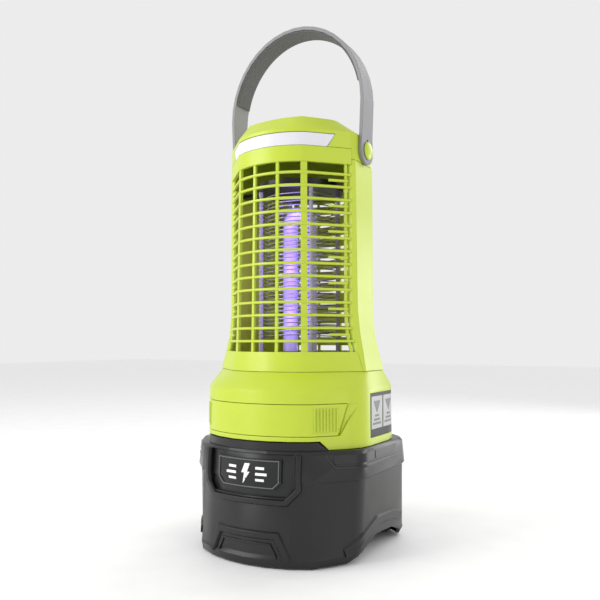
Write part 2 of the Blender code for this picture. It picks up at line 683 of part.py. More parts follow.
def base_small_pieces():
    floor_top = FLOOR_FOOT + FLOOR_THICK
    plate = [ring(inset(base_plan(z), BASE_WALL + COVER_CLEARANCE), z) for z in (FLOOR_FOOT, floor_top)]
    cover = loft("base_bottom_cover", plate, BLACK)
    badge = band("badge_plate", base_path, BASE, BADGE_FOOT, BADGE_HEAD, BADGE_SINK, RECESS_DEEP - GAP,
                 mat=BLACK)
    outline = prism_y("badge_trim", badge_outline(0.0), -FAR, -40 * MM)
    boolean(badge, outline, "INTERSECT")
    for side_name, x, y in corner_places((SCREW_X, -SCREW_Y), (SCREW_X, SCREW_Y)):
        hole = cylinder(f"cover_hole_{side_name}", (x, y, FLOOR_FOOT - MM), (0, 0, 1),
                        SCREW_RADIUS + SCREW_CLEARANCE, FLOOR_THICK + 2 * MM, sides=12)
        boolean(cover, hole)
        head_foot = -GAP - 1.8 * MM
        turned(f"base_screw_{side_name}", (x, y, FLOOR_FOOT), (0, 0, 1),
               [(0, SCREW_LENGTH - 2 * MM), (SCREW_RADIUS, SCREW_LENGTH - 3 * MM), (SCREW_RADIUS, -GAP),
                (SCREW_HEAD_RADIUS, -GAP), (SCREW_HEAD_RADIUS, head_foot + 0.6 * MM),
                (SCREW_HEAD_RADIUS - MM, head_foot), (0, head_foot)], STEEL, steps=12)
    for side_name, x, y in corner_places(FRONT_FOOT, REAR_FOOT):
        cylinder(f"foot_pad_{side_name}", (x, y, 0), (0, 0, 1), PAD_RADIUS, PAD_HEIGHT, RUBBER, sides=16)


def terminals():
    back = PACK_FRONT - MM
    front = back - BLOCK_DEPTH
    block = box("terminal_block", (-RAIL_HALF, front, PACK_TOP), (RAIL_HALF, back, DECK_FOOT - GAP),
                BLACK)
    middle = PACK_TOP + RAIL_HEIGHT / 2
    for side_name, side in (("left", -1), ("right", 1)):
        x = side * CONTACT_X
        low = Vector((x - BLADE_THICK / 2, front + 3 * MM, middle - BLADE_HEIGHT / 2))
        high = Vector((x + BLADE_THICK / 2, PACK_FRONT + BLADE_REACH, middle + BLADE_HEIGHT / 2))
        air = Vector((GAP, GAP, GAP))
        boolean(block, box(f"blade_seat_{side_name}", low - air, high + air))
        box(f"contact_blade_{side_name}", low, high, STEEL)


# ---------------------------------------------------------------- battery pack
def battery():
    case = box("battery_case", (-PACK_HALF_WIDTH, PACK_FRONT, PACK_FOOT),
               (PACK_HALF_WIDTH, PACK_JOIN, PACK_TOP), BLACK, bevel=CASE_BEVEL)
    rail = box("pack_rail", (-RAIL_HALF, PACK_FRONT, PACK_TOP - 3 * MM),
               (RAIL_HALF, RAIL_BACK, PACK_TOP + RAIL_HEIGHT), bevel=MM)
    boolean(case, rail, "UNION")
    middle = PACK_TOP + RAIL_HEIGHT / 2
    for side_name, side in (("left", -1), ("right", 1)):
        x = side * CONTACT_X
        half = BLADE_THICK / 2 + BAY_CLEARANCE
        slot = box(f"blade_slot_{side_name}", (x - half, PACK_FRONT - MM, middle - BLADE_HEIGHT / 2 - GAP),
                   (x + half, PACK_FRONT + BLADE_REACH + 2 * MM, middle + BLADE_HEIGHT))
        boolean(case, slot)
    front = PACK_JOIN + GAP
    arc = arc_through(PACK_HALF_WIDTH, PACK_BACK - 8 * MM, PACK_BACK, ARC_STEPS)[::-1]
    outline = [Vector((-PACK_HALF_WIDTH, front)), Vector((PACK_HALF_WIDTH, front))] + arc
    soft = [(PACK_FOOT, PACK_EDGE), (PACK_FOOT + PACK_EDGE, 0), (PACK_TOP - PACK_EDGE, 0),
            (PACK_TOP, PACK_EDGE)]
    rings = [ring(inset(outline, depth) if depth else outline, z) for z, depth in soft]
    cover = loft("battery_end_cover", rings, BLACK)
    latch_foot = PACK_TOP - GAP - LATCH_HEIGHT
    button_foot = latch_foot - 4 * MM
    slot_back = front + LATCH_THICK + 2 * GAP
    boolean(cover, box("latch_slot", (-LATCH_HALF - GAP, front - MM, latch_foot - LATCH_TRAVEL - GAP),
                       (LATCH_HALF + GAP, slot_back, PACK_TOP + MM)))
    boolean(cover, box("button_slot",
                       (-LATCH_BUTTON - GAP, slot_back - MM, button_foot - LATCH_TRAVEL - GAP),
                       (LATCH_BUTTON + GAP, PACK_BACK + MM, PACK_TOP + MM)))
    latch = box("battery_latch", (-LATCH_HALF, front + GAP, latch_foot),
                (LATCH_HALF, front + GAP + LATCH_THICK, PACK_TOP - GAP), GRIP)
    button = box("latch_button", (-LATCH_BUTTON, front + LATCH_THICK, button_foot),
                 (LATCH_BUTTON, PACK_BACK - MM, PACK_TOP - GAP - SLIVER), bevel=0.8 * MM)
    boolean(latch, button, "UNION")
    for side_name, side in (("left", -1), ("right", 1)):
        x = side * (LATCH_HALF - TOOTH_INSET)
        tooth = box(f"latch_tooth_{side_name}", (x - TOOTH_HALF, front + GAP + SLIVER, latch_foot + MM),
                    (x + TOOTH_HALF, front + LATCH_THICK, PACK_TOP + LATCH_TOOTH))
        boolean(latch, tooth, "UNION")


# ---------------------------------------------------------------- lower housing and tray
def tray_outline(grow):
    return trapezoid(TRAY_HALF_FOOT, TRAY_FOOT, TRAY_HALF_TOP, TRAY_HEAD, grow)


def lower_housing():
    foot = BASE_TOP + GAP
    body = loft("lower_housing", [ring(tower_plan(z), z) for z in levels(TOWER, foot, FLARE_TOP)], LIME)
    inner = levels(TOWER, foot, FLARE_TOP - SHELL_WALL)
    hollow = [ring(inset(tower_plan(z), SHELL_WALL), z) for z in inner]
    hollow[0] = ring(inset(tower_plan(foot), SHELL_WALL), foot - MM)
    boolean(body, loft("lower_hollow", hollow))
    boolean(body, cylinder("drop_opening", (0, 0, FLARE_TOP - 2 * SHELL_WALL), (0, 0, 1),
                           CARRIER_RADIUS - DROP_RIM, 4 * SHELL_WALL, sides=32))
    boolean(body, prism_y("tray_opening", tray_outline(GAP), -FAR, -30 * MM))
    for name, side in (("left", -1), ("right", 1)):
        dip = band(f"finger_recess_{name}", tower_path, TOWER, TRAY_FOOT, TRAY_HEAD, -3 * MM, FINGER_DEEP)
        edge = [(TRAY_HALF_FOOT - MM, TRAY_FOOT), (TRAY_HALF_FOOT + FINGER_FOOT, TRAY_FOOT),
                (TRAY_HALF_TOP + FINGER_WIDTH, TRAY_HEAD), (TRAY_HALF_TOP - MM, TRAY_HEAD)]
        boolean(dip, prism_y(f"finger_zone_{name}", [(side * x, z) for x, z in edge], -FAR, -20 * MM),
                "INTERSECT")
        boolean(body, dip)
    lip_outline = trapezoid(LIP_HALF + FRONT_RAISE, BASE_TOP - MM, LIP_HALF, BASE_TOP + FRONT_RAISE,
                            LIP_CLEARANCE)
    boolean(body, prism_y("lip_seat", lip_outline, -FAR, -20 * MM))
    for side_name, x, _, _ in button_places():
        boolean(body, cylinder(f"button_hole_{side_name}", (x, 50 * MM, BUTTON_Z), (0, 1, 0),
                               BUTTON_RADIUS + GAP, 40 * MM, sides=20))
    rings = [ring(inset(tower_plan(z), -MM), z) for z in (LABEL_FOOT - GAP, LABEL_HEAD + GAP)]
    skin = loft("label_recess", rings)
    core = [ring(inset(tower_plan(z), LABEL_THICK + 2 * GAP), z) for z in (LABEL_FOOT - MM, LABEL_HEAD + MM)]
    boolean(skin, loft("label_core_cut", core))
    boolean(skin, box("label_zone", (50 * MM, LABEL_FRONT - GAP, LABEL_FOOT - MM),
                      (FAR, LABEL_BACK + GAP, LABEL_HEAD + MM)), "INTERSECT")
    boolean(body, skin)


def side_label():
    rings = [ring(inset(tower_plan(z), GAP / 2), z) for z in (LABEL_FOOT, LABEL_HEAD)]
    film = loft("side_label", rings, LABEL)
    core = [ring(inset(tower_plan(z), LABEL_THICK + GAP / 2), z) for z in (LABEL_FOOT - MM, LABEL_HEAD + MM)]
    boolean(film, loft("label_core", core))
    boolean(film, box("label_trim", (50 * MM, LABEL_FRONT, LABEL_FOOT - MM),
                      (FAR, LABEL_BACK, LABEL_HEAD + MM)), "INTERSECT")


def back_face(x):
    """The Y of the lower housing's outer face at the buttons' height."""
    _, _, _, corner_x, corner_y, crown, _ = at_height(TOWER, BUTTON_Z)
    rise = crown - corner_y
    radius = (corner_x ** 2 + rise ** 2) / (2 * rise)
    return crown - radius + math.sqrt(radius ** 2 - x ** 2)


def button_places():
    """Side, X, the Y of the housing's outer face there, and the Y of the button's flange."""
    flange_edge = BUTTON_X + BUTTON_RADIUS + BUTTON_FLANGE
    seat = back_face(flange_edge) - SHELL_WALL - BUTTON_AIR
    return [(side, x, back_face(x), seat) for side, x in (("left", -BUTTON_X), ("right", BUTTON_X))]


def insect_tray():
    face = band("insect_tray", tower_path, TOWER, TRAY_FOOT + GAP / 2, TRAY_HEAD - GAP / 2, 0.0, TRAY_WALL,
                mat=LIME)
    boolean(face, prism_y("tray_face_trim", tray_outline(0.0), -FAR, -30 * MM), "INTERSECT")
    half = TRAY_HALF_FOOT - TRAY_BIN_INSET
    front = -tower_path(TRAY_FOOT)[1].y - TRAY_WALL
    low = (-half, -front - 6 * MM, TRAY_FOOT + MM)
    high = (half, TRAY_BACK, TRAY_HEAD - 2 * MM)
    hopper = box("tray_bin", low, high)
    inside = box("tray_inside", [v + TRAY_WALL for v in low],
                 (half - TRAY_WALL, TRAY_BACK - TRAY_WALL, TRAY_HEAD + MM))
    front_cut = band("tray_front_cut", tower_path, TOWER, TRAY_FOOT, TRAY_HEAD, -20 * MM, TRAY_WALL / 2)
    boolean(hopper, front_cut)
    boolean(face, hopper, "UNION")
    keep = band("tray_face_keep", tower_path, TOWER, TRAY_FOOT - MM, TRAY_HEAD + MM, -5 * MM, TRAY_WALL)
    boolean(inside, keep)
    boolean(face, inside)
    for side_name, side in (("left", -1), ("right", 1)):
        boolean(face, grip_ribs(f"tray_ribs_{side_name}", side), "UNION")


def grip_ribs(name, side):
    """Upright finger ribs on one slanted face of the tray."""
    path = tower_path((TRAY_FOOT + TRAY_HEAD) / 2)
    start, end = (path[-2], path[-1]) if side > 0 else (path[1], path[0])
    along = (end - start).normalized()
    outward = Vector((along.y, -along.x)) * side
    bm = bmesh.new()
    for i in range(RIB_COUNT):
        centre = start + along * (RIB_MARGIN + RIB_PITCH * i)
        root, crest = centre - outward * RIB_ROOT, centre + outward * RIB_PROUD
        corners = [root - along * RIB_FOOT_HALF, root + along * RIB_FOOT_HALF,
                   crest + along * RIB_CREST_HALF, crest - along * RIB_CREST_HALF]
        add_loft(bm, [ring(corners, z) for z in (TRAY_FOOT + RIB_MARGIN, TRAY_HEAD - RIB_MARGIN)])
    return finish(name, bm, None, cutter=True)


# ---------------------------------------------------------------- electronics and buttons
def electronics():
    back = BOARD_FACE + BOARD_THICK
    box("circuit_board", (-38 * MM, BOARD_FACE, BASE_TOP + 4 * MM), (38 * MM, back, SHOULDER + 4 * MM), BOARD)
    part = back + GAP
    box("transformer", (-33 * MM, part, SHOULDER - 13 * MM), (-9 * MM, part + 14 * MM, SHOULDER), COPPER,
        bevel=MM)
    cylinder("capacitor", (22 * MM, part, SHOULDER - 6 * MM), (0, 1, 0), 7 * MM, 15 * MM, BLACK, sides=20,
             bevel=0.8 * MM)
    for side_name, x, _, seat in button_places():
        tip = seat - FLANGE_THICK - BUTTON_STROKE - GAP
        box(f"{BUTTON_NAMES[side_name]}_switch", (x - 3.5 * MM, part, BUTTON_Z - 3.5 * MM),
            (x + 3.5 * MM, tip, BUTTON_Z + 3.5 * MM), BLACK, bevel=0.5 * MM)


def buttons():
    for side_name, x, wall, seat in button_places():
        radius = BUTTON_RADIUS
        length = wall + BUTTON_PROUD - seat
        turned(f"{BUTTON_NAMES[side_name]}", (x, seat, BUTTON_Z), (0, 1, 0),
               [(0, length), (radius - BUTTON_EDGE, length), (radius, length - BUTTON_EDGE), (radius, 0),
                (radius + BUTTON_FLANGE, 0), (radius + BUTTON_FLANGE, -FLANGE_THICK), (0, -FLANGE_THICK)],
               BLACK, steps=20)


# ---------------------------------------------------------------- grilles, pillars and head
def upright_ring(path, span, facing, z):
    """One section of an upright, which runs along a stretch of the grille's outline."""
    return band_ring(stretch(path, *span), UPRIGHT_SET_BACK, GRILLE_WALL - SLIVER, facing, z)


def grille(name, facing):
    path_at = front_grille_path if facing < 0 else rear_path
    ends = LEVEL if facing < 0 else ()
    body = band(name, path_at, TOWER, CARRIER_FOOT, WINDOW_FOOT, 0.0, GRILLE_WALL, facing, LIME)
    header = band(f"{name}_head", path_at, TOWER, WINDOW_HEAD, LENS_FOOT, 0.0, GRILLE_WALL, facing)
    boolean(body, header, "UNION")
    heights = levels(TOWER, WINDOW_FOOT - MM, WINDOW_HEAD + MM)
    uprights = bmesh.new()
    for index in range(1, GRILLE_STEPS + 2):
        half = CORNER_BAR if index in (1, GRILLE_STEPS + 1) else UPRIGHT_WIDTH / 2
        add_loft(uprights, [upright_ring(path_at(z), corner_span(path_at(z), index, half), facing, z)
                            for z in heights])
    if facing < 0:
        for at_left in (True, False):
            add_loft(uprights, [upright_ring(path_at(z), end_span(path_at(z), at_left, GRILLE_WALL,
                                                                  GRILLE_WALL + END_STRIP), facing, z)
                                for z in heights])
    boolean(body, finish(f"{name}_uprights", uprights, None, cutter=True), "UNION")
    bars = bmesh.new()
    thick = BAR_THICK if facing < 0 else REAR_BAR_THICK
    for i in range(BAR_COUNT):
        z = FIRST_BAR + BAR_PITCH * i
        add_loft(bars, [band_ring(path_at(height), 0.0, GRILLE_WALL - BAR_SET_BACK, facing, height, ends)
                        for height in (z - thick / 2, z + thick / 2)])
    boolean(body, finish(f"{name}_bars", bars, None, cutter=True), "UNION")
    if facing < 0:
        boolean(body, short_bars(f"{name}_short_bars", path_at, facing), "UNION")


def corner_span(path, index, half):
    """A stretch of an outline reaching half to each side of one of its corners."""
    middle = distance_at(path, index)
    return middle - half, middle + half


def front_grille_path(z):
    return tower_path(z, GRILLE_STEPS)


def end_span(path, at_left, near, far):
    """A stretch of an outline between two distances from its left or right end."""
    whole = distance_at(path, len(path) - 1)
    return (near, far) if at_left else (whole - far, whole - near)


def short_bars(name, path_at, facing):
    """Half-length bars beside each pillar, between every second pair of full bars."""
    short = bmesh.new()
    for i in range(0, BAR_COUNT - 1, 2):
        z = FIRST_BAR + BAR_PITCH * (i + 0.5)
        for at_left in (True, False):
            rings = []
            for height in (z - BAR_THICK / 2, z + BAR_THICK / 2):
                path = path_at(height)
                reach = distance_at(path, 1) * (1 - SHORT_BAR_START)
                span = end_span(path, at_left, 0.9 * GRILLE_WALL, reach)
                rings.append(band_ring(stretch(path, *span), GAP, GRILLE_WALL - SHORT_BAR_SET_BACK, facing,
                                       height))
            add_loft(short, rings)
    return finish(name, short, None, cutter=True)


def side_pillar(name, side):
    """A solid side wall, from the front grille round to the rear one."""
    rings = []
    for z in levels(TOWER, CARRIER_FOOT, SKIRT_FOOT - GAP):
        _, half, flat, corner_x, corner_y, _, _ = at_height(TOWER, z)
        run = (PILLAR_EDGE - flat) / (corner_y - flat)
        front = Vector((half + (corner_x - half) * run, -PILLAR_EDGE))
        path = [front, Vector((half, -flat)), Vector((half, flat)), rear_path(z, GAP)[-1]]
        path += offset_open(path, GRILLE_WALL, -1, ("start",))[::-1]
        rings.append([(side * p.x, p.y, z) for p in path])
    loft(name, rings, LIME)


def head_cap():
    heights = levels(TOWER, SKIRT_FOOT, HEAD_BEVEL)
    rings = [ring(tower_plan(z), z) for z in heights] + [ring(rim_plan(), HEAD_TOP)]
    body = loft("head_cap", rings, LIME)
    hollow = [ring(inset(tower_plan(z), GRILLE_WALL), z) for z in heights]
    hollow[0] = ring(inset(tower_plan(SKIRT_FOOT), GRILLE_WALL), SKIRT_FOOT - MM)
    hollow.append(ring(inset(rim_plan(), GRILLE_WALL), HEAD_TOP - GRILLE_WALL))
    boolean(body, loft("head_hollow", hollow))
    rear_half = rear_path(LENS_FOOT)[-1].x + GAP
    for name, half, y_from, y_to in (("front", FAR, -FAR, -PILLAR_EDGE),
                                     ("back", rear_half, PILLAR_EDGE, FAR)):
        boolean(body, box(f"grille_seat_{name}", (-half, y_from, SKIRT_FOOT - MM),
                          (half, y_to, LENS_FOOT + GAP)))
    boolean(body, prism_y("lens_opening", lens_outline(LENS_CLEARANCE), -FAR, -25 * MM))
    for name, side in (("left", -1), ("right", 1)):
        boolean(body, cylinder(f"stud_hole_{name}", (side * 45 * MM, 0, PIVOT_Z), (side, 0, 0),
                               STUD_SHAFT + STUD_CLEARANCE, 20 * MM, sides=20))


def lens_outline(grow):
    return trapezoid(LENS_HALF_FOOT, LENS_FOOT + GAP, LENS_HALF_TOP, LENS_HEAD, grow)


def lens_and_light():
    lens = band("front_lens", tower_path, TOWER, LENS_FOOT + GAP, LENS_HEAD, 0.0, LENS_WALL, mat=WHITE)
    boolean(lens, prism_y("lens_trim", lens_outline(0.0), -FAR, -25 * MM), "INTERSECT")
    back = LIGHT_BOARD_FACE + BOARD_THICK
    board = box("light_board", (-LIGHT_BOARD_HALF, LIGHT_BOARD_FACE, LENS_FOOT + MM),
                (LIGHT_BOARD_HALF, back, LENS_HEAD + MM), BOARD)
    chips = bmesh.new()
    for i in range(CHIP_COUNT):
        x = (i - (CHIP_COUNT - 1) / 2) * CHIP_PITCH
        place = Matrix.Translation((x, LIGHT_BOARD_FACE - 0.3 * CHIP_DEEP, (LENS_FOOT + LENS_HEAD) / 2))
        size = Matrix.Diagonal((CHIP_SIZE, CHIP_DEEP, CHIP_SIZE, 1.0))
        bmesh.ops.create_cube(chips, size=1.0, matrix=place @ size)
    boolean(board, finish("light_chips", chips, None, cutter=True), "UNION")


# ---------------------------------------------------------------- electrodes and lamp
def electrode_cage():
    lower = cylinder("electrode_base", (0, 0, CARRIER_FOOT), (0, 0, 1), CARRIER_RADIUS, CARRIER_THICK, BLACK,
                     sides=32)
    reach = POST_CIRCLE - POST_RADIUS - DROP_HOLE
    for i in range(DROP_HOLES):
        angle = math.tau * (i + 0.5) / DROP_HOLES
        place = (reach * math.cos(angle), reach * math.sin(angle), CARRIER_FOOT - MM)
        boolean(lower, cylinder(f"drop_hole_{i + 1}", place, (0, 0, 1), DROP_HOLE, CARRIER_THICK + 2 * MM,
                                sides=10))
    upper = cylinder("electrode_top", (0, 0, POST_TOP + GAP), (0, 0, 1), CARRIER_RADIUS, UPPER_CARRIER_THICK,
                     BLACK, sides=32)
    arm_z = POST_TOP + GAP + MM
    arm_reach = at_height(TOWER, arm_z)[1] - GRILLE_WALL - 2 * GAP
    arms = box("carrier_arms", (-arm_reach, -ARM_HALF, arm_z), (arm_reach, ARM_HALF, arm_z + ARM_THICK))
    boolean(upper, arms, "UNION")
    for i in range(POST_COUNT):
        angle = math.tau * (i + 0.5) / POST_COUNT
        place = (POST_CIRCLE * math.cos(angle), POST_CIRCLE * math.sin(angle), CARRIER_TOP + GAP)
        cylinder(f"electrode_post_{i + 1}", place, (0, 0, 1), POST_RADIUS, POST_TOP - place[2], WHITE,
                 sides=10)
    for name, start in (("electrode_coil_a", 0.0), ("electrode_coil_b", 0.5)):
        points = []
        for step in range(COIL_TURNS * COIL_STEPS + 1):
            turn = step / COIL_STEPS
            angle = math.tau * turn
            z = COIL_FOOT + COIL_PITCH * (turn + start)
            points.append((COIL_RADIUS * math.cos(angle), COIL_RADIUS * math.sin(angle), z))
        tube(name, points, WIRE_RADIUS, WIRE, resolution=0, smooth=False)


def lamp():
    leg = TUBE_GAP / 2 + TUBE_RADIUS
    cylinder("lamp_socket", (0, 0, CARRIER_TOP + GAP), (0, 0, 1), leg + TUBE_RADIUS + MM, SOCKET_HEIGHT, BLACK,
             sides=28, bevel=MM)
    bend = LAMP_TOP - leg - TUBE_RADIUS
    path = [(-leg, 0, LAMP_FOOT)]
    for i in range(TUBE_STEPS + 1):
        angle = math.pi * (1 - i / TUBE_STEPS)
        path.append((leg * math.cos(angle), 0, bend + leg * math.sin(angle)))
    path.append((leg, 0, LAMP_FOOT))
    tube("uv_lamp", path, TUBE_RADIUS, GLASS, resolution=2)


def electrode_lead():
    """The wire from the circuit board up to the underside of the lower carrier."""
    points = [(LEAD_X, BOARD_FACE - 2 * MM, SHOULDER + 3 * MM),
              (LEAD_X, BOARD_FACE - 9 * MM, SHOULDER + 6 * MM),
              (LEAD_X, COIL_RADIUS, SHOULDER + 9 * MM),
              (LEAD_X, COIL_RADIUS - 1.5 * MM, CARRIER_FOOT - 2 * GAP)]
    tube("electrode_lead", smooth_path(points, 3), LEAD_RADIUS, COPPER)


# ---------------------------------------------------------------- strap and studs
def strap_line(inset_by=0.0):
    """Points up the middle of the strap's thickness, from the right leg's tip over to the left leg's."""
    half = STRAP_ARCH_HALF - STRAP_THICK / 2 - inset_by
    leg_x = STRAP_LEG_IN + STRAP_THICK / 2 - inset_by
    rise = STRAP_ARCH_RISE - STRAP_THICK / 2 - inset_by
    right = [(leg_x, PIVOT_Z - STRAP_END_RADIUS * share) for share in (1.0, 0.92, 0.7, 0.35, 0.0)]
    right += [(leg_x, PIVOT_Z + STRAP_END_RADIUS)]
    right += [(leg_x + (half - leg_x) * share, PIVOT_Z + STRAP_END_RADIUS
               + (STRAP_ARCH_FOOT - PIVOT_Z - STRAP_END_RADIUS) * share) for share in (0.5, 1.0)]
    arch = []
    for i in range(1, 20):
        angle = math.pi * i / 20
        arch.append((half * math.cos(angle), STRAP_ARCH_FOOT + rise * math.sin(angle)))
    left = [(-x, z) for x, z in reversed(right)]
    return right + arch + left


def strap_band(name, line, thick, width_at, mat):
    """A strip of the given thickness laid along an XZ line, as wide in Y as width_at says."""
    points = [Vector((x, z)) for x, z in line]
    rings = []
    for i, here in enumerate(points):
        before = points[max(i - 1, 0)]
        after = points[min(i + 1, len(points) - 1)]
        along = (after - before).normalized()
        outward = Vector((along.y, -along.x)) * (thick / 2)
        half = width_at(here) / 2
        outer, inner = here + outward, here - outward
        rings.append([(outer.x, -half, outer.y), (outer.x, half, outer.y), (inner.x, half, inner.y),
                      (inner.x, -half, inner.y)])
    return loft(name, rings, mat)


def strap():
    def width_at(point):
        drop = PIVOT_Z - point.y
        if drop < 0:
            blend = min(1.0, -drop / STRAP_END_RADIUS)
            return 2 * STRAP_END_RADIUS + (STRAP_WIDTH - 2 * STRAP_END_RADIUS) * blend
        return 2 * math.sqrt(max(STRAP_END_RADIUS ** 2 - drop ** 2, MM ** 2))

    body = strap_band("carry_strap", strap_line(), STRAP_THICK, width_at, STRAP)
    for name, side in (("left", -1), ("right", 1)):
        boolean(body, cylinder(f"strap_hole_{name}", (side * 50 * MM, 0, PIVOT_Z), (side, 0, 0),
                               STUD_SHAFT + STUD_CLEARANCE, 20 * MM, sides=20))
        slit_low = (side * 50 * MM, -SLIT_HALF, PIVOT_Z)
        slit_high = (side * 70 * MM, SLIT_HALF, PIVOT_Z + STUD_SHAFT + SLIT_REACH)
        low = [min(a, b) for a, b in zip(slit_low, slit_high)]
        high = [max(a, b) for a, b in zip(slit_low, slit_high)]
        boolean(body, box(f"strap_slit_{name}", low, high))
    depth = STRAP_THICK / 2 + GAP + GRIP_THICK / 2
    inner_line = [point for point in strap_line(depth) if point[1] > STRAP_ARCH_FOOT + GRIP_RAISE]
    strap_band("strap_grip", inner_line, GRIP_THICK, lambda point: STRAP_WIDTH - 2 * GRIP_INSET, GRIP)


def studs():
    inner_wall = at_height(TOWER, PIVOT_Z)[1] - GRILLE_WALL
    collar = inner_wall - GAP
    cap = STRAP_LEG_IN + STRAP_THICK + GAP
    for name, side in (("left", -1), ("right", 1)):
        profile = [(0, cap + 2.4 * MM), (STUD_HEAD * 0.55, cap + 2.2 * MM), (STUD_HEAD * 0.9, cap + 1.4 * MM),
                   (STUD_HEAD, cap + 0.6 * MM), (STUD_HEAD, cap), (STUD_SHAFT, cap), (STUD_SHAFT, collar),
                   (STUD_HEAD - MM, collar), (STUD_HEAD - MM, collar - 2.5 * MM), (0, collar - 2.5 * MM)]
        turned(f"strap_stud_{name}", (0, 0, PIVOT_Z), (side, 0, 0), profile, LIME, steps=24)


def pivot_empty(name, place, pieces):
    """An empty on a joint's axis, with the pieces that move about it as its children."""
    empty = bpy.data.objects.new(name, None)
    empty.location = place
    PARTS.objects.link(empty)
    for piece in pieces:
        obj = bpy.data.objects[piece]
        obj.parent = empty
        obj.matrix_parent_inverse = Matrix.Translation(-Vector(place))


base_housing()
base_small_pieces()
terminals()
battery()
lower_housing()
side_label()
insect_tray()
electronics()
buttons()
grille("front_grille", -1)
grille("rear_grille", 1)
side_pillar("side_pillar_left", -1)
side_pillar("side_pillar_right", 1)
head_cap()
lens_and_light()
electrode_cage()
lamp()
electrode_lead()
strap()
studs()
pivot_empty("strap_pivot", (0, 0, PIVOT_Z), ["carry_strap", "strap_grip"])
pivot_empty("tray_slide", (0, 0, TRAY_FOOT), ["insect_tray"])
pivot_empty("battery_slide", (0, 0, PACK_FOOT), ["battery_case", "battery_end_cover", "battery_latch"])
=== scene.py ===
import json
import math

import bmesh
import bpy
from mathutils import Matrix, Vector

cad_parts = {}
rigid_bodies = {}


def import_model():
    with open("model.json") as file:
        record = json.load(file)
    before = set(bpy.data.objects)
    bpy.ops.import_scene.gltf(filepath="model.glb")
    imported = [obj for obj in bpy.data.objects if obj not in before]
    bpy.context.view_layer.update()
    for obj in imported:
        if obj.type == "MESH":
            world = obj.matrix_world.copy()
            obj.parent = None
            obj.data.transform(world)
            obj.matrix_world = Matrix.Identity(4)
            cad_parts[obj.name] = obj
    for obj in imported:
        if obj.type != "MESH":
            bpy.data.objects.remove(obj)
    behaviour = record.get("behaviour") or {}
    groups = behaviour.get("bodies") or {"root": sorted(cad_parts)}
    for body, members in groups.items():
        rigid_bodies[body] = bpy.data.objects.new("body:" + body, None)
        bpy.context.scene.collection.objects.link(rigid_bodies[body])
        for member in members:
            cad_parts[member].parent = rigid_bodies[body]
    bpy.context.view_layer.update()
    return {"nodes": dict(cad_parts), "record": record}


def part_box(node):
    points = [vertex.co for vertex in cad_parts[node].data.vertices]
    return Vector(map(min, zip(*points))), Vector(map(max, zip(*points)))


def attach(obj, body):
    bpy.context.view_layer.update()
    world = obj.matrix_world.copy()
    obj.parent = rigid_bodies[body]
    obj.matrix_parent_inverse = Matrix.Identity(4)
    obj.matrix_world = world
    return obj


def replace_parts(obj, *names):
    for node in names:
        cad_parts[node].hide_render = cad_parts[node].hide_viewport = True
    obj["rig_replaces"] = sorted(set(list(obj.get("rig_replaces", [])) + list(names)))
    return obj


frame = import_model()

MM = 0.001
BODY_OF = {node: body for body, nodes in frame["record"]["behaviour"]["bodies"].items() for node in nodes}
SLOT_OF = {row["node"]: row["material_slot"] for row in frame["record"]["subparts"]}
PARTS = bpy.data.collections.new("looks")
bpy.context.scene.collection.children.link(PARTS)

# ---- the tower's and the base's plan sections, as the frame has them (mm) ----
# height, half width, flat side's half depth, front corner X and Y, crown, softness
TOWER = [
    (82.0, 71.0, 30.0, 44.0, 62.0, 75.5, 12.0),
    (124.0, 70.6, 29.6, 43.6, 61.4, 74.8, 12.0),
    (126.6, 69.9, 29.0, 42.2, 59.8, 73.0, 11.0),
    (137.4, 67.3, 17.0, 33.0, 49.6, 58.6, 5.0),
    (152.0, 64.2, 15.0, 31.2, 47.6, 56.4, 4.0),
    (166.0, 61.2, 14.0, 31.0, 47.3, 56.1, 4.0),
    (184.0, 59.4, 14.5, 30.8, 47.0, 55.8, 4.0),
    (322.0, 58.0, 16.5, 29.6, 45.4, 54.0, 4.0),
]
# height, half width, front and rear ends of the flat side, front corner X and Y, crown, softness
BASE = [
    (1.0, 68.0, 38.0, 50.0, 48.0, 66.0, 80.2, 6.0),
    (6.5, 71.0, 38.0, 51.0, 49.0, 66.6, 81.5, 6.0),
    (9.0, 70.5, 38.0, 51.0, 48.4, 66.2, 79.8, 6.0),
    (60.0, 73.0, 37.0, 46.0, 48.0, 66.0, 79.4, 7.0),
    (61.5, 75.0, 38.0, 46.0, 48.6, 66.6, 80.0, 7.0),
    (79.5, 74.0, 36.0, 44.0, 47.6, 65.8, 79.0, 8.0),
    (82.0, 72.6, 34.0, 42.0, 46.2, 64.4, 77.6, 8.0),
]

# ---- grille ----
WINDOW_FOOT = 152.4 * MM
WINDOW_HEAD = 296.0 * MM
FIRST_BAR = 160.5 * MM
BAR_PITCH = 9.8 * MM
BAR_COUNT = 14
BAR_TALL = 2.0 * MM
REAR_SLAT_TALL = 7.4 * MM
GRILLE_WALL = 3.0 * MM
PILLAR_EDGE = 18.0 * MM
REAR_SEAM = 4.5 * MM
SEAM = 0.3 * MM
OUTLINE_STEPS = 18
CORNER_UPRIGHT_HALF = 2.7 * MM
UPRIGHT_HALF = 1.25 * MM
UPRIGHT_SUNK = 0.7 * MM
END_STRIP_WIDE = 2.4 * MM
END_STRIP_SUNK = 1.2 * MM
BAR_BACK = 0.5 * MM
SHORT_BAR_START = 0.9 * GRILLE_WALL
SHORT_BAR_REACH = 0.48
SHORT_BAR_SUNK = 0.3 * MM
SHORT_BAR_BACK = 0.6 * MM

# ---- electrodes ----
COIL_RADIUS = 30.0 * MM
COIL_FOOT = 160.5 * MM
COIL_TURNS = 18
COIL_STEPS = 40
COIL_PITCH = 6.4 * MM
WIRE_RADIUS = 0.5 * MM
POST_COUNT = 4
POST_SIDES = 12
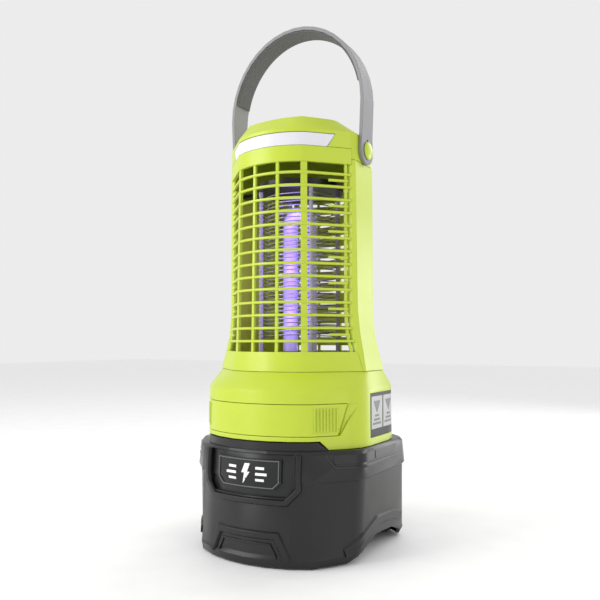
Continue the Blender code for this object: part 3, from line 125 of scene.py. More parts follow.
# share of a wire's seat, share of the post's radius
POST_NOTCH = [(0.2, 1.0), (0.35, 0.72), (0.65, 0.72), (0.8, 1.0)]
POST_MARGIN = 2.0 * MM
WIRE_RESOLUTION = 2
LAMP_RESOLUTION = 8
LAMP_BEND_STEPS = 24

# ---- strap ----
STRAP_THICK = 2.8 * MM
STRAP_ARCH_HALF = 62.4 * MM
STRAP_ARCH_FOOT = 350.0 * MM
STRAP_ARCH_RISE = 68.5 * MM
GRIP_START = math.radians(13)
GRIP_DEEP = 1.6 * MM
GRIP_HALF = 9.0 * MM
GRIP_EASE = 1.2 * MM
GRIP_CELLS_ACROSS = 36
GRIP_CELLS_ALONG = 300
GRIP_END_CELLS = 6
GRIP_RIM, GRIP_BODY, GRIP_LUMP = 0.35, 0.4, 0.25
DIAMOND = 2.6 * MM

# ---- base, badge and label ----
SOFT_EDGE = 0.4 * MM
BADGE_Z = 65.5 * MM
BADGE_SUNK = 0.45 * MM
EMBLEM_THICK = 0.25 * MM
LABEL_Z = 105.0 * MM
LABEL_MARGIN = 2.0 * MM
LABEL_GAP_HALF = 1.0 * MM
PANEL_RISE = 6.0 * MM
PANEL_DROP = 2.5 * MM
INK_THICK = 0.1 * MM

# ---- mesh helpers ----
MOULDING_SUNK = 0.6 * MM
MOULDING_STEP = 3.0 * MM
PLATE_SUNK = 0.4 * MM
SHARPEST_MITRE = 0.5
RAIL_SOFT_SHARE = 0.22
RAIL_SOFT_MOST = 0.5 * MM
WELD_DISTANCE = 0.005 * MM
FLAT_ANGLE = math.radians(0.5)

# ---- light: name, place, target, size, power ----
AREA_LIGHTS = [
    ("key", (-0.75, -0.75, 0.75), (0, 0, 0.2), (0.7, 0.9), 6.5),
    ("fill", (1.0, -0.35, 0.45), (0, 0, 0.2), (0.35, 0.9), 1.0),
    ("rim", (0.25, 0.9, 0.8), (0, 0, 0.25), (0.8, 0.5), 3.0),
    ("side_sheen", (0.62, 0.95, 0.22), (0.06, 0.02, 0.05), (0.30, 0.45), 2.4),
    ("front_sheen", (-0.50, -0.95, 0.30), (0, -0.06, 0.04), (0.22, 0.40), 1.5),
]
SKY_STRENGTH = 0.84
UV_SPILL_PLACES = [(0.0, -0.018, z) for z in (0.18, 0.22, 0.26)]
UV_SPILL_POWER = 0.05
UV_SPILL_RADIUS = 0.012
UV_SPILL_COLOUR = (0.36, 0.20, 1.0)
FLOOR_SIZE = 8.0
FLOOR_DROP = 0.0002

# ---- camera ----
CAMERA_AZIMUTH = math.radians(29.87)
CAMERA_PITCH = math.radians(91.48)
CAMERA_DISTANCE = 0.5532
CAMERA_HEIGHT = 0.1604
CAMERA_LENS = 40.13
CAMERA_SENSOR = 36.0
CAMERA_SHIFT = 0.040

# ---- texture of the materials ----
MOTTLE_SCALE, MOTTLE_DETAIL = 28.0, 4.0
SMUDGE_SCALE, SMUDGE_DETAIL = 70.0, 6.0
GRAIN_DETAIL, GRAIN_DEPTH = 3.0, 0.05 * MM
GLOW_SCALE, GLOW_DETAIL = 45.0, 2.0
COAT_ROUGHNESS = 0.15


# ---------------------------------------------------------------- camera, floor and light
def camera():
    data = bpy.data.cameras.new("camera")
    data.sensor_width = CAMERA_SENSOR
    data.lens = CAMERA_LENS
    data.shift_y = CAMERA_SHIFT
    made = bpy.data.objects.new("camera", data)
    made.location = (CAMERA_DISTANCE * math.sin(CAMERA_AZIMUTH), -CAMERA_DISTANCE * math.cos(CAMERA_AZIMUTH),
                     CAMERA_HEIGHT)
    made.rotation_euler = (CAMERA_PITCH, 0, CAMERA_AZIMUTH)
    bpy.context.scene.collection.objects.link(made)
    bpy.context.scene.camera = made


def area_light(name, place, target, size, power):
    data = bpy.data.lights.new(name, "AREA")
    data.shape = "RECTANGLE"
    data.size, data.size_y = size
    data.energy = power
    made = bpy.data.objects.new(name, data)
    made.location = place
    made.rotation_euler = (Vector(target) - Vector(place)).to_track_quat("-Z", "Y").to_euler()
    bpy.context.scene.collection.objects.link(made)


def uv_spill(place):
    """The violet light that the lamp throws on the electrodes round it."""
    data = bpy.data.lights.new("uv_spill", "POINT")
    data.energy = UV_SPILL_POWER
    data.shadow_soft_size = UV_SPILL_RADIUS
    data.color = UV_SPILL_COLOUR
    made = bpy.data.objects.new("uv_spill", data)
    made.location = place
    bpy.context.scene.collection.objects.link(made)


def studio():
    """A white sky, soft lights and a plain pale floor."""
    scene = bpy.context.scene
    scene.view_settings.view_transform = "Standard"
    world = bpy.data.worlds.new("studio")
    world.use_nodes = True
    sky = world.node_tree.nodes["Background"]
    sky.inputs["Color"].default_value = (1.0, 1.0, 1.0, 1.0)
    sky.inputs["Strength"].default_value = SKY_STRENGTH
    scene.world = world
    for light in AREA_LIGHTS:
        area_light(*light)
    for place in UV_SPILL_PLACES:
        uv_spill(place)
    bpy.ops.mesh.primitive_plane_add(size=FLOOR_SIZE, location=(0, 0, -FLOOR_DROP))
    floor = bpy.context.object
    floor.name = "floor"
    floor.data.materials.append(painted("floor_paint", (0.93, 0.93, 0.93), 0.55, grain=0.0))


# ---------------------------------------------------------------- materials
def add_noise(tree, scale, detail):
    """Noise that is fixed to the piece, scaled by its metres."""
    place = tree.nodes.new("ShaderNodeTexCoord")
    noise = tree.nodes.new("ShaderNodeTexNoise")
    noise.inputs["Scale"].default_value = scale
    noise.inputs["Detail"].default_value = detail
    tree.links.new(place.outputs["Object"], noise.inputs["Vector"])
    return noise.outputs["Fac"]


def add_blend(tree, amount, low, high):
    """A colour between low and high."""
    mix = tree.nodes.new("ShaderNodeMix")
    mix.data_type = "RGBA"
    mix.inputs["A"].default_value = (*low, 1.0)
    mix.inputs["B"].default_value = (*high, 1.0)
    tree.links.new(amount, mix.inputs["Factor"])
    return mix.outputs["Result"]


def painted(name, colour, roughness, grain=0.25, grain_scale=900.0, mottle=0.05, rough_spread=0.06,
            metallic=0.0, specular=0.5, coat=0.0):
    """A moulded or drawn material: faint colour mottle, uneven gloss and a fine surface grain."""
    made = bpy.data.materials.new(name)
    made.use_nodes = True
    tree = made.node_tree
    shader = tree.nodes["Principled BSDF"]
    shader.inputs["Metallic"].default_value = metallic
    shader.inputs["Specular IOR Level"].default_value = specular
    shader.inputs["Coat Weight"].default_value = coat
    shader.inputs["Coat Roughness"].default_value = COAT_ROUGHNESS
    darker = [c * (1 - mottle) for c in colour]
    lighter = [min(1.0, c * (1 + mottle)) for c in colour]
    blend = add_blend(tree, add_noise(tree, MOTTLE_SCALE, MOTTLE_DETAIL), darker, lighter)
    tree.links.new(blend, shader.inputs["Base Color"])
    spread = tree.nodes.new("ShaderNodeMapRange")
    spread.inputs["To Min"].default_value = max(0.02, roughness - rough_spread)
    spread.inputs["To Max"].default_value = min(1.0, roughness + rough_spread)
    tree.links.new(add_noise(tree, SMUDGE_SCALE, SMUDGE_DETAIL), spread.inputs["Value"])
    tree.links.new(spread.outputs["Result"], shader.inputs["Roughness"])
    if grain > 0:
        bump = tree.nodes.new("ShaderNodeBump")
        bump.inputs["Strength"].default_value = grain
        bump.inputs["Distance"].default_value = GRAIN_DEPTH
        tree.links.new(add_noise(tree, grain_scale, GRAIN_DETAIL), bump.inputs["Height"])
        tree.links.new(bump.outputs["Normal"], shader.inputs["Normal"])
    return made


def glowing(name, colour, glow, strength, roughness, stripes=0.0):
    """A lit tube, or a lens with a faint painted glow: its light is a little uneven along its length."""
    made = painted(name, colour, roughness, grain=0.0)
    tree = made.node_tree
    shader = tree.nodes["Principled BSDF"]
    shader.inputs["Emission Strength"].default_value = strength
    dimmer = [c * (1 - stripes) for c in glow]
    blend = add_blend(tree, add_noise(tree, GLOW_SCALE, GLOW_DETAIL), dimmer, glow)
    tree.links.new(blend, shader.inputs["Emission Color"])
    return made


LIME = painted("lime_abs", (0.49, 0.60, 0.035), 0.34, grain=0.18, mottle=0.03)
BLACK = painted("black_nylon", (0.011, 0.011, 0.012), 0.30, grain=0.4, grain_scale=1300.0, mottle=0.12,
                specular=0.38)
GLOSS = painted("black_gloss", (0.007, 0.008, 0.008), 0.2, grain=0.05, mottle=0.1, specular=0.3, coat=0.15)
RUBBER_GREY = painted("strap_rubber", (0.235, 0.235, 0.245), 0.55, grain=0.35, mottle=0.05)
RUBBER_DARK = painted("grip_rubber", (0.10, 0.10, 0.105), 0.7, grain=0.5, mottle=0.08)
RUBBER_FOOT = painted("foot_rubber", (0.02, 0.02, 0.02), 0.85, grain=0.6, mottle=0.15)
WIRE = painted("bright_wire", (0.40, 0.40, 0.46), 0.25, grain=0.1, metallic=1.0)
STEEL = painted("zinc_steel", (0.5, 0.5, 0.52), 0.34, grain=0.2, metallic=1.0)
POST_WHITE = painted("post_nylon", (0.42, 0.42, 0.50), 0.35, grain=0.15)
BOARD_GREEN = painted("solder_mask", (0.015, 0.16, 0.06), 0.35, grain=0.2)
LEAD_RED = painted("lead_red", (0.45, 0.02, 0.02), 0.45, grain=0.1)
FILM = painted("label_film", (0.010, 0.010, 0.012), 0.40, grain=0.05, specular=0.25)
INK_PALE = painted("pale_ink", (0.40, 0.41, 0.40), 0.4, grain=0.05)
INK_WHITE = painted("white_ink", (0.85, 0.85, 0.85), 0.35, grain=0.05)
INK_GREY = painted("grey_ink", (0.12, 0.125, 0.13), 0.4, grain=0.05)
LAMP = glowing("uv_glass", (0.40, 0.37, 0.50), (0.66, 0.56, 1.0), 0.20, 0.12, stripes=0.45)
# The lens is not lit: its faint white emission is a painted glow that brightens the white lens.
LENS_PAINTED_GLOW = glowing("lens_white_painted_glow", (0.66, 0.65, 0.70), (1.0, 1.0, 1.0), 0.05, 0.22)

MATERIAL_OF_SLOT = {
    "lime_plastic": LIME, "black_plastic": BLACK, "white_lens": POST_WHITE, "grey_rubber": RUBBER_GREY,
    "dark_rubber": RUBBER_DARK, "foot_rubber": RUBBER_FOOT, "electrode_wire": WIRE, "uv_glass": LAMP,
    "circuit_board": BOARD_GREEN, "screw_steel": STEEL, "lead_insulation": LEAD_RED, "label_film": FILM,
}


# ---------------------------------------------------------------- plan outlines
def arc_through(half, corner_y, crown_y, steps):
    """A circle's arc from (-half, corner_y) through (0, crown_y) to (half, corner_y)."""
    rise = abs(crown_y - corner_y)
    radius = (half * half + rise * rise) / (2 * rise)
    reach = math.asin(half / radius)
    outward = math.copysign(1.0, crown_y)
    centre_y = crown_y - outward * radius
    angles = [-reach + 2 * reach * i / steps for i in range(steps + 1)]
    return [Vector((radius * math.sin(a), centre_y + outward * radius * math.cos(a))) for a in angles]


def soft_corner(before, corner, after, size, steps=4):
    """Points of a curve that rounds a corner off, starting and ending size away from it."""
    start = corner + (before - corner).normalized() * size
    end = corner + (after - corner).normalized() * size
    made = []
    for i in range(steps + 1):
        t = i / steps
        made.append((1 - t) ** 2 * start + 2 * t * (1 - t) * corner + t * t * end)
    return made


def closed_plan(side, flat_front, flat_back, corner_x, corner_y, crown, soft, steps=12):
    """An eight-sided plan with bowed front and back, anticlockwise from the front's middle."""
    front = arc_through(corner_x, -corner_y, -crown, steps)
    back = arc_through(corner_x, corner_y, crown, steps)[::-1]
    right_front, right_back = Vector((side, -flat_front)), Vector((side, flat_back))
    left_back, left_front = Vector((-side, flat_back)), Vector((-side, -flat_front))
    made = front[steps // 2:]
    made += soft_corner(front[-1], right_front, right_back, soft)
    made += soft_corner(right_front, right_back, back[0], soft)
    made += back
    made += soft_corner(back[-1], left_back, left_front, soft)
    made += soft_corner(left_back, left_front, front[0], soft)
    return made + front[:steps // 2]


def at_height(rows, z):
    """The plan section at height z, between the rows below and above it, in metres."""
    for low, high in zip(rows, rows[1:]):
        if low[0] * MM <= z <= high[0] * MM + 1e-9:
            t = (z / MM - low[0]) / (high[0] - low[0])
            return [(a + (b - a) * t) * MM for a, b in zip(low, high)]
    return [v * MM for v in (rows[-1] if z > rows[-1][0] * MM else rows[0])]


def tower_plan(z):
    _, side, flat, corner_x, corner_y, crown, soft = at_height(TOWER, z)
    return closed_plan(side, flat, flat, corner_x, corner_y, crown, soft)


def base_plan(z):
    _, side, front, back, corner_x, corner_y, crown, soft = at_height(BASE, z)
    return closed_plan(side, front, back, corner_x, corner_y, crown, soft)


def on_skin(plan_at, s, z, out):
    """The point s along the outline from the front's middle (towards +X), at height z, out of the face."""
    plan = plan_at(z)
    if s < 0:
        right = on_skin(plan_at, -s, z, out)
        return Vector((-right.x, right.y, right.z))
    walked = 0.0
    for here, after in zip(plan, plan[1:]):
        length = (after - here).length
        if s <= walked + length:
            at = here.lerp(after, (s - walked) / length)
            along = (after - here).normalized()
            return Vector((at.x + along.y * out, at.y - along.x * out, z))
        walked += length
    return Vector((plan[-1].x, plan[-1].y, z))


# ---------------------------------------------------------------- mesh helpers
def add_piece(name, bm, mat, body, bevel=0.0, segments=2, angle=30.0, replaced=()):
    """Turn the mesh into a piece that rides on a body, in place of the replaced CAD nodes."""
    bmesh.ops.recalc_face_normals(bm, faces=bm.faces)
    mesh = bpy.data.meshes.new(name)
    bm.to_mesh(mesh)
    bm.free()
    mesh.shade_smooth()
    mesh.set_sharp_from_angle(angle=math.radians(angle))
    mesh.materials.append(mat)
    obj = bpy.data.objects.new(name, mesh)
    PARTS.objects.link(obj)
    if bevel > 0:
        soften = obj.modifiers.new("Soften", "BEVEL")
        soften.width = bevel
        soften.segments = segments
        soften.limit_method = "ANGLE"
        soften.angle_limit = math.radians(angle)
        soften.harden_normals = True
    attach(obj, body)
    if replaced:
        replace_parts(obj, *replaced)


def add_loft(bm, rings, closed=False):
    """A skin over rings of points. A closed one joins the last ring to the first, others get end caps."""
    made = [[bm.verts.new(p) for p in ring] for ring in rings]
    if closed:
        made.append(made[0])
    count = len(made[0])
    for low, high in zip(made, made[1:]):
        for i in range(count):
            j = (i + 1) % count
            bm.faces.new((low[i], low[j], high[j], high[i]))
    if not closed:
        bm.faces.new(list(reversed(made[0])))
        bm.faces.new(made[-1])


def add_moulding(bm, plan_at, path, width, height, lift=0.0, closed=False, ease=0.35):
    """A raised rib of trapezoid section that follows (s, z) points over a curved face."""
    points = refine([Vector(p) for p in path], MOULDING_STEP, closed)
    rings = []
    last = len(points) - 1
    for i, here in enumerate(points):
        before = points[i - 1] if i or closed else here
        after = points[(i + 1) % len(points)] if i < last or closed else here
        one = (here - before).normalized() if (here - before).length > 1e-9 else (after - here).normalized()
        two = (after - here).normalized() if (after - here).length > 1e-9 else one
        across = Vector((-one.y - two.y, one.x + two.x)).normalized()
        across /= max(SHARPEST_MITRE, math.sqrt((1 + one.dot(two)) / 2))
        wide, slim = width / 2, width / 2 * (1 - ease)
        section = [(wide, lift - MOULDING_SUNK), (wide, lift), (slim, lift + height), (-slim, lift + height),
                   (-wide, lift), (-wide, lift - MOULDING_SUNK)]
        places = [(here + across * a, out) for a, out in section]
        rings.append([on_skin(plan_at, place.x, place.y, out) for place, out in places])
    add_loft(bm, rings, closed)


def refine(points, step, closed=False):
    """The same outline with a point at least every step."""
    made = []
    pairs = list(zip(points, points[1:] + points[:1])) if closed else list(zip(points, points[1:]))
    for a, b in pairs:
        count = max(1, math.ceil((b - a).length / step))
        made += [a.lerp(b, i / count) for i in range(count)]
    return made if closed else made + [points[-1]]


def add_plate(bm, plan_at, rows, thick, lift=0.0, step=2.5 * MM, ease=0.0):
    """A thin plate over a curved face, its outline given as rows: z, left s, right s."""
    widest = max(right - left for _, left, right in rows)
    count = max(2, math.ceil(widest / step))
    faces = []
    for out, shrink in ((lift - PLATE_SUNK, 0.0), (lift + thick, ease)):
        grid = []
        for index, (z, left, right) in enumerate(rows):
            nudge = shrink if index == 0 else -shrink if index == len(rows) - 1 else 0.0
            across = [left + shrink + (right - left - 2 * shrink) * i / count for i in range(count + 1)]
            grid.append([bm.verts.new(on_skin(plan_at, s, z + nudge, out)) for s in across])
        faces.append(grid)
    low, high = faces
    for grid in faces:
        for one, two in zip(grid, grid[1:]):
            for i in range(count):
                bm.faces.new((one[i], one[i + 1], two[i + 1], two[i]))
    for index in range(len(rows) - 1):
        for i in (0, count):
            bm.faces.new((low[index][i], low[index + 1][i], high[index + 1][i], high[index][i]))
    for index in (0, len(rows) - 1):
        for i in range(count):
            bm.faces.new((low[index][i], low[index][i + 1], high[index][i + 1], high[index][i]))


def dressed(node, mat=None, bevel=0.35 * MM, segments=2):
    """A CAD node's own shape with its flats rejoined, its edges rounded and a finished material."""
    source = frame["nodes"][node]
    bm = bmesh.new()
    bm.from_mesh(source.data)
    bmesh.ops.remove_doubles(bm, verts=bm.verts, dist=WELD_DISTANCE)
    bmesh.ops.dissolve_limit(bm, angle_limit=FLAT_ANGLE, verts=bm.verts, edges=bm.edges)
    slot = SLOT_OF[node]
    add_piece(f"{node}_finished", bm, mat or MATERIAL_OF_SLOT[slot], BODY_OF[node], bevel, segments,
              replaced=(node,))


# ---------------------------------------------------------------- grilles
def half_path(z, facing):
    """A grille's outline at height z: from pillar to pillar in front, just past the corners at the back."""
    _, side, flat, corner_x, corner_y, crown, _ = at_height(TOWER, z)
    end_y = PILLAR_EDGE + SEAM
    if facing > 0:
        end_y = corner_y - REAR_SEAM * (corner_y - flat) / math.hypot(side - corner_x, corner_y - flat)
    run = (end_y - flat) / (corner_y - flat)
    end_x = side + (corner_x - side) * run
    path = [Vector((-end_x, facing * end_y))]
    path += arc_through(corner_x, facing * corner_y, facing * crown, OUTLINE_STEPS)
    path.append(Vector((end_x, facing * end_y)))
    return path


def moved_in(path, distance, facing, level_ends=True):
    """The outline moved into the tower. A whole front outline keeps its ends level with the pillars."""
    made = []
    last = len(path) - 1
    for i, here in enumerate(path):
        one = (here - path[i - 1]).normalized() if i else (path[1] - here).normalized()
        two = (path[i + 1] - here).normalized() if i < last else one
        inward = Vector((one.y + two.y, -one.x - two.x)) * facing
        inward = inward.normalized() / max(SHARPEST_MITRE, math.sqrt((1 + one.dot(two)) / 2))
        if level_ends and facing < 0 and i in (0, last):
            inward = Vector((1 / inward.x, 0.0))
        made.append(here + inward * distance)
    return made


def length_of(path):
    return sum((b - a).length for a, b in zip(path, path[1:]))


def stretch(path, start, end):
    """The part of a path between two distances along it."""
    made = []
    walked = 0.0
    for here, after in zip(path, path[1:]):
        length = (after - here).length
        for mark in (start, end):
            if walked <= mark < walked + length:
                made.append((mark, here.lerp(after, (mark - walked) / length)))
        walked += length
        if start < walked < end:
            made.append((walked, after))
    if end >= walked:
        made.append((end, path[-1]))
    return [point for _, point in sorted(made, key=lambda pair: pair[0])]


def add_band(bm, facing, heights, outer, inner, section=None):
    """A wall along the grille's outline; section narrows it to part of the outline."""
    rings = []
    for z in heights:
        path = half_path(z, facing)
        if section:
            path = stretch(path, *section(path))
        a = moved_in(path, outer, facing, section is None)
        b = moved_in(path, inner, facing, section is None)
        rings.append([(p.x, p.y, z) for p in a + b[::-1]])
    add_loft(bm, rings)


def add_rail(bm, facing, z, outer, inner, tall, section=None):
    """A bar along the grille's outline with a softly rounded section."""
    path = half_path(z, facing)
    if section:
        path = stretch(path, *section(path))
    level = section is None
    half, soft = tall / 2, min(tall * RAIL_SOFT_SHARE, RAIL_SOFT_MOST)
    depth = inner - outer
    near, far = outer + soft, outer + depth - soft
    profile = [(outer, -half + soft), (outer, half - soft), (near, half), (far, half),
               (inner, half - soft), (inner, -half + soft), (far, -half), (near, -half)]
    lines = [[(p.x, p.y, z + up) for p in moved_in(path, into, facing, level)] for into, up in profile]
    add_loft(bm, [[line[i] for line in lines] for i in range(len(path))])


def round_point(index, half):
    """A section of the outline: half to each side of one of its points."""
    def section(path):
        middle = length_of(path[:index + 1])
        return middle - half, middle + half
    return section


def from_end(path, at_left, near, far):
    whole = length_of(path)
    return (near, far) if at_left else (whole - far, whole - near)


def end_strip(at_left):
    """A section of the outline: the strip beside a pillar."""
    def section(path):
        return from_end(path, at_left, GRILLE_WALL, GRILLE_WALL + END_STRIP_WIDE)
    return section


def short_bar(at_left):
    """A section of the outline: from the pillar to nearly half of the first flat."""
    def section(path):
        return from_end(path, at_left, SHORT_BAR_START, length_of(path[:2]) * SHORT_BAR_REACH)
    return section


def grille(node, facing):
    """Level bars and uprights in a frame. The rear one has taller slats, no end strips and no short bars."""
    in_front = facing < 0
    low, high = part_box(node)
    bm = bmesh.new()
    add_band(bm, facing, [low.z, (low.z + WINDOW_FOOT) / 2, WINDOW_FOOT], 0.0, GRILLE_WALL)
    add_band(bm, facing, [WINDOW_HEAD, high.z], 0.0, GRILLE_WALL)
    bends = [row[0] * MM for row in TOWER if WINDOW_FOOT < row[0] * MM < WINDOW_HEAD]
    heights = [WINDOW_FOOT - MM, *bends, WINDOW_HEAD + MM]
    third = OUTLINE_STEPS // 3
    for step in (0, third, 2 * third, OUTLINE_STEPS):
        half = CORNER_UPRIGHT_HALF if step in (0, OUTLINE_STEPS) else UPRIGHT_HALF
        add_band(bm, facing, heights, UPRIGHT_SUNK, GRILLE_WALL, round_point(1 + step, half))
    for at_left in (True, False) if in_front else ():
        add_band(bm, facing, heights, END_STRIP_SUNK, GRILLE_WALL, end_strip(at_left))
    for i in range(BAR_COUNT):
        tall = BAR_TALL if in_front else REAR_SLAT_TALL
        add_rail(bm, facing, FIRST_BAR + BAR_PITCH * i, 0.0, GRILLE_WALL - BAR_BACK, tall)
    for i in range(0, BAR_COUNT - 1, 2) if in_front else ():
        z = FIRST_BAR + BAR_PITCH * (i + 0.5)
        for at_left in (True, False):
            back = GRILLE_WALL - SHORT_BAR_BACK
            add_rail(bm, facing, z, SHORT_BAR_SUNK, back, BAR_TALL, short_bar(at_left))
    add_piece(f"{node}_finished", bm, LIME, "base", bevel=0.22 * MM, replaced=(node,))


# ---------------------------------------------------------------- electrodes and lamp
def add_tube(name, points, radius, resolution, mat):
    """A round wire or tube through the points."""
    curve = bpy.data.curves.new(name, "CURVE")
    curve.dimensions = "3D"
    curve.bevel_depth = radius
    curve.bevel_resolution = resolution
    curve.use_fill_caps = True
    spline = curve.splines.new("POLY")
    spline.points.add(len(points) - 1)
    for knot, point in zip(spline.points, points):
        knot.co = (*point, 1.0)
    spline.use_smooth = True
    curve.materials.append(mat)
    obj = bpy.data.objects.new(name, curve)
    PARTS.objects.link(obj)
    return obj


def coil(node, start):
    """A wire helix round the lamp. The second coil starts half a pitch higher."""
    points = []
    for i in range(COIL_TURNS * COIL_STEPS + 1):
        turn = i / COIL_STEPS
        angle = math.tau * turn
        z = COIL_FOOT + COIL_PITCH * (turn + start)
        points.append((COIL_RADIUS * math.cos(angle), COIL_RADIUS * math.sin(angle), z))
    obj = add_tube(f"{node}_wire", points, WIRE_RADIUS, WIRE_RESOLUTION, WIRE)
    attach(obj, "base")
    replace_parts(obj, node)


def notched_post(node):
    """A moulded post with a seat for each turn of wire."""
    low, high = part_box(node)
    centre = (low + high) / 2
    radius = (high.x - low.x) / 2
    turn = COIL_PITCH / 2
    rows = [(low.z, radius), (COIL_FOOT - POST_MARGIN, radius)]
    for i in range(int((high.z - COIL_FOOT - POST_MARGIN) / turn)):
        seat = COIL_FOOT + turn * i
        rows += [(seat + up * turn, radius * share) for up, share in POST_NOTCH]
    rows.append((high.z, radius))
    angles = [math.tau * k / POST_SIDES for k in range(POST_SIDES)]
    x, y = centre.x, centre.y
    bm = bmesh.new()
    add_loft(bm, [[(x + r * math.cos(a), y + r * math.sin(a), z) for a in angles] for z, r in rows])
    add_piece(f"{node}_notched", bm, POST_WHITE, "base", replaced=(node,))


def lamp():
    """A U-shaped tube: two legs joined by a half circle."""
    low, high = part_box("uv_lamp")
    radius = (high.y - low.y) / 2
    leg = (high.x - low.x) / 2 - radius
    bend = high.z - radius - leg
    middle = (low.z + bend) / 2
    points = [(-leg, 0, low.z), (-leg, 0, middle)]
    for i in range(LAMP_BEND_STEPS + 1):
        share = i / LAMP_BEND_STEPS
        points.append((leg * math.cos(math.pi * (1 - share)), 0, bend + leg * math.sin(math.pi * share)))
    points += [(leg, 0, middle), (leg, 0, low.z)]
    obj = add_tube("uv_lamp_glass", points, radius - SEAM, LAMP_RESOLUTION, LAMP)
    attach(obj, "base")
    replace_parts(obj, "uv_lamp")


# ---------------------------------------------------------------- base mouldings
def in_mm(points):
    """Rows of millimetres as rows of metres."""
    return [tuple(value * MM for value in point) for point in points]


def mirrored(path, side):
    return [(side * s, z) for s, z in path]


def badge_surround():
    """The raised shield round the badge, open at the top."""
    half, cut = 40.5 * MM, 9 * MM
    foot, head = 46.5 * MM, 80.0 * MM
    shield = [(-half, head), (-half, foot + cut), (-half + cut, foot), (half - cut, foot), (half, foot + cut),
              (half, head)]
    bm = bmesh.new()
    add_moulding(bm, base_plan, shield, width=5.0 * MM, height=1.6 * MM)
    add_piece("badge_surround", bm, BLACK, "base", bevel=SOFT_EDGE)


def foot_frame():
    """Two nested frames on the front of the foot, open downwards."""
    bm = bmesh.new()
    outer = in_mm([(-33, 6), (-24.5, 23), (24.5, 23), (33, 6)])
    add_moulding(bm, base_plan, outer, width=6.0 * MM, height=1.6 * MM)
    inner = in_mm([(-25, 7.6), (-20, 17.0), (20, 17.0), (25, 7.6)])
    add_moulding(bm, base_plan, inner, width=1.6 * MM, height=0.9 * MM)
    add_piece("foot_frame", bm, BLACK, "base", bevel=SOFT_EDGE)


def side_arch_bands():
    """The band over each side's arched gap, and the slim one under the base's belt."""
    arch = in_mm([(76, 9), (92, 17), (118, 25), (148, 23), (166, 18)])
    belt = in_mm([(60, 79.5), (68, 70), (150, 70)])
    bm = bmesh.new()
    for side in (-1, 1):
        add_moulding(bm, base_plan, mirrored(arch, side), width=9.0 * MM, height=1.4 * MM)
        add_moulding(bm, base_plan, mirrored(belt, side), width=2.6 * MM, height=0.4 * MM)
    add_piece("side_arch_bands", bm, BLACK, "base", bevel=SOFT_EDGE)


def belt_facets():
    """Two shallow plates on each side of the belt, with their lower corners cut off."""
    heights_and_cuts = in_mm([(72.5, 1.5), (74, 0.0), (79.4, 0.0)])
    bm = bmesh.new()
    for start, end in in_mm([(66, 106), (109, 150)]):
        for side in (-1, 1):
            rows = [(z, *sorted((side * (start + cut), side * (end - cut)))) for z, cut in heights_and_cuts]
            add_plate(bm, base_plan, rows, thick=0.35 * MM, ease=0.3 * MM)
    add_piece("belt_facets", bm, BLACK, "base", bevel=0.15 * MM)


def rear_foot_blocks():
    """A raised block on each rear corner of the foot."""
    right = in_mm([(6.0, 185, 214), (8.0, 183, 216), (31, 183, 216), (33.5, 185, 214)])
    left = [(z, -end, -start) for z, start, end in right]
    bm = bmesh.new()
    for rows in (left, right):
        add_plate(bm, base_plan, rows, thick=2.2 * MM, ease=1.5 * MM)
    add_piece("rear_foot_blocks", bm, BLACK, "base", bevel=0.5 * MM)


# ---------------------------------------------------------------- badge
def add_badge_shape(bm, rows):
    """A thin shape on the badge, as rows of mm: height from the badge's middle, left s, right s."""
    rows = [(BADGE_Z + up * MM, left * MM, right * MM) for up, left, right in rows]
    add_plate(bm, base_plan, rows, EMBLEM_THICK, lift=-BADGE_SUNK)


def badge_mark():
    """A plain lightning bolt between two sets of three bars, on a glossy plate with a fine rim."""
    dressed("badge_plate", GLOSS, bevel=0.5 * MM)
    pitch, half, inner, outer, shorter = 4.2, 0.9, 8.5, 17.5, 2.2
    bm = bmesh.new()
    for side in (-1, 1):
        for row in (-1, 0, 1):
            left, right = sorted((side * inner, side * (outer - shorter * abs(row))))
            add_badge_shape(bm, [(row * pitch - half, left, right), (row * pitch + half, left, right)])
    add_badge_shape(bm, [(0.4, -3.4, 1.2), (7.2, -0.6, 3.6)])
    add_badge_shape(bm, [(-7.2, -2.4, -2.2), (1.2, -0.8, 3.6)])
    add_piece("badge_emblem", bm, INK_WHITE, "base")
    bm = bmesh.new()
    rim = in_mm([(-26.3, 75.2), (-26.3, 60.4), (-21.6, 56.0), (21.6, 56.0), (26.3, 60.4), (26.3, 75.2)])
    add_moulding(bm, base_plan, rim, width=0.8 * MM, height=0.35 * MM, lift=-BADGE_SUNK, closed=True)
    add_piece("badge_rim", bm, INK_GREY, "base")


# ---------------------------------------------------------------- buttons
def button_marks():
    """A raised mark to feel on each rear button: a dot for power, a bar for the light."""
    for node, wide, tall in (("power_button", 2.2 * MM, 2.2 * MM), ("light_button", 5.0 * MM, 1.4 * MM)):
        low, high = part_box(node)
        bm = bmesh.new()
        bmesh.ops.create_cube(bm, size=1.0)
        bmesh.ops.scale(bm, verts=bm.verts, vec=(wide, 0.6 * MM, tall))
        bmesh.ops.translate(bm, verts=bm.verts, vec=((low.x + high.x) / 2, high.y, (low.z + high.z) / 2))
        add_piece(f"{node}_mark", bm, INK_GREY, BODY_OF[node], bevel=0.2 * MM)


# ---------------------------------------------------------------- label
def label():
    """Two pale panels on a dark film, each with an arrow head above three bars."""
    dressed("side_label", FILM, bevel=0.0)
    low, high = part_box("side_label")
    start = side_distance(low.y + LABEL_MARGIN)
    end = side_distance(high.y - LABEL_MARGIN)
    middle = (start + end) / 2
    bm = bmesh.new()
    for left, right in ((start, middle - LABEL_GAP_HALF), (middle + LABEL_GAP_HALF, end)):
        rows = [(low.z + PANEL_RISE, left, right), (high.z - PANEL_DROP, left, right)]
        add_plate(bm, tower_plan, rows, INK_THICK, lift=-INK_THICK)
    add_piece("label_panels", bm, INK_PALE, "base")
    bm = bmesh.new()
    across = middle - LABEL_GAP_HALF - start
    for left in (start, middle + LABEL_GAP_HALF):
        add_label_marks(bm, left + across / 2, across, low.z, high.z)
    add_piece("label_marks", bm, INK_GREY, "base")


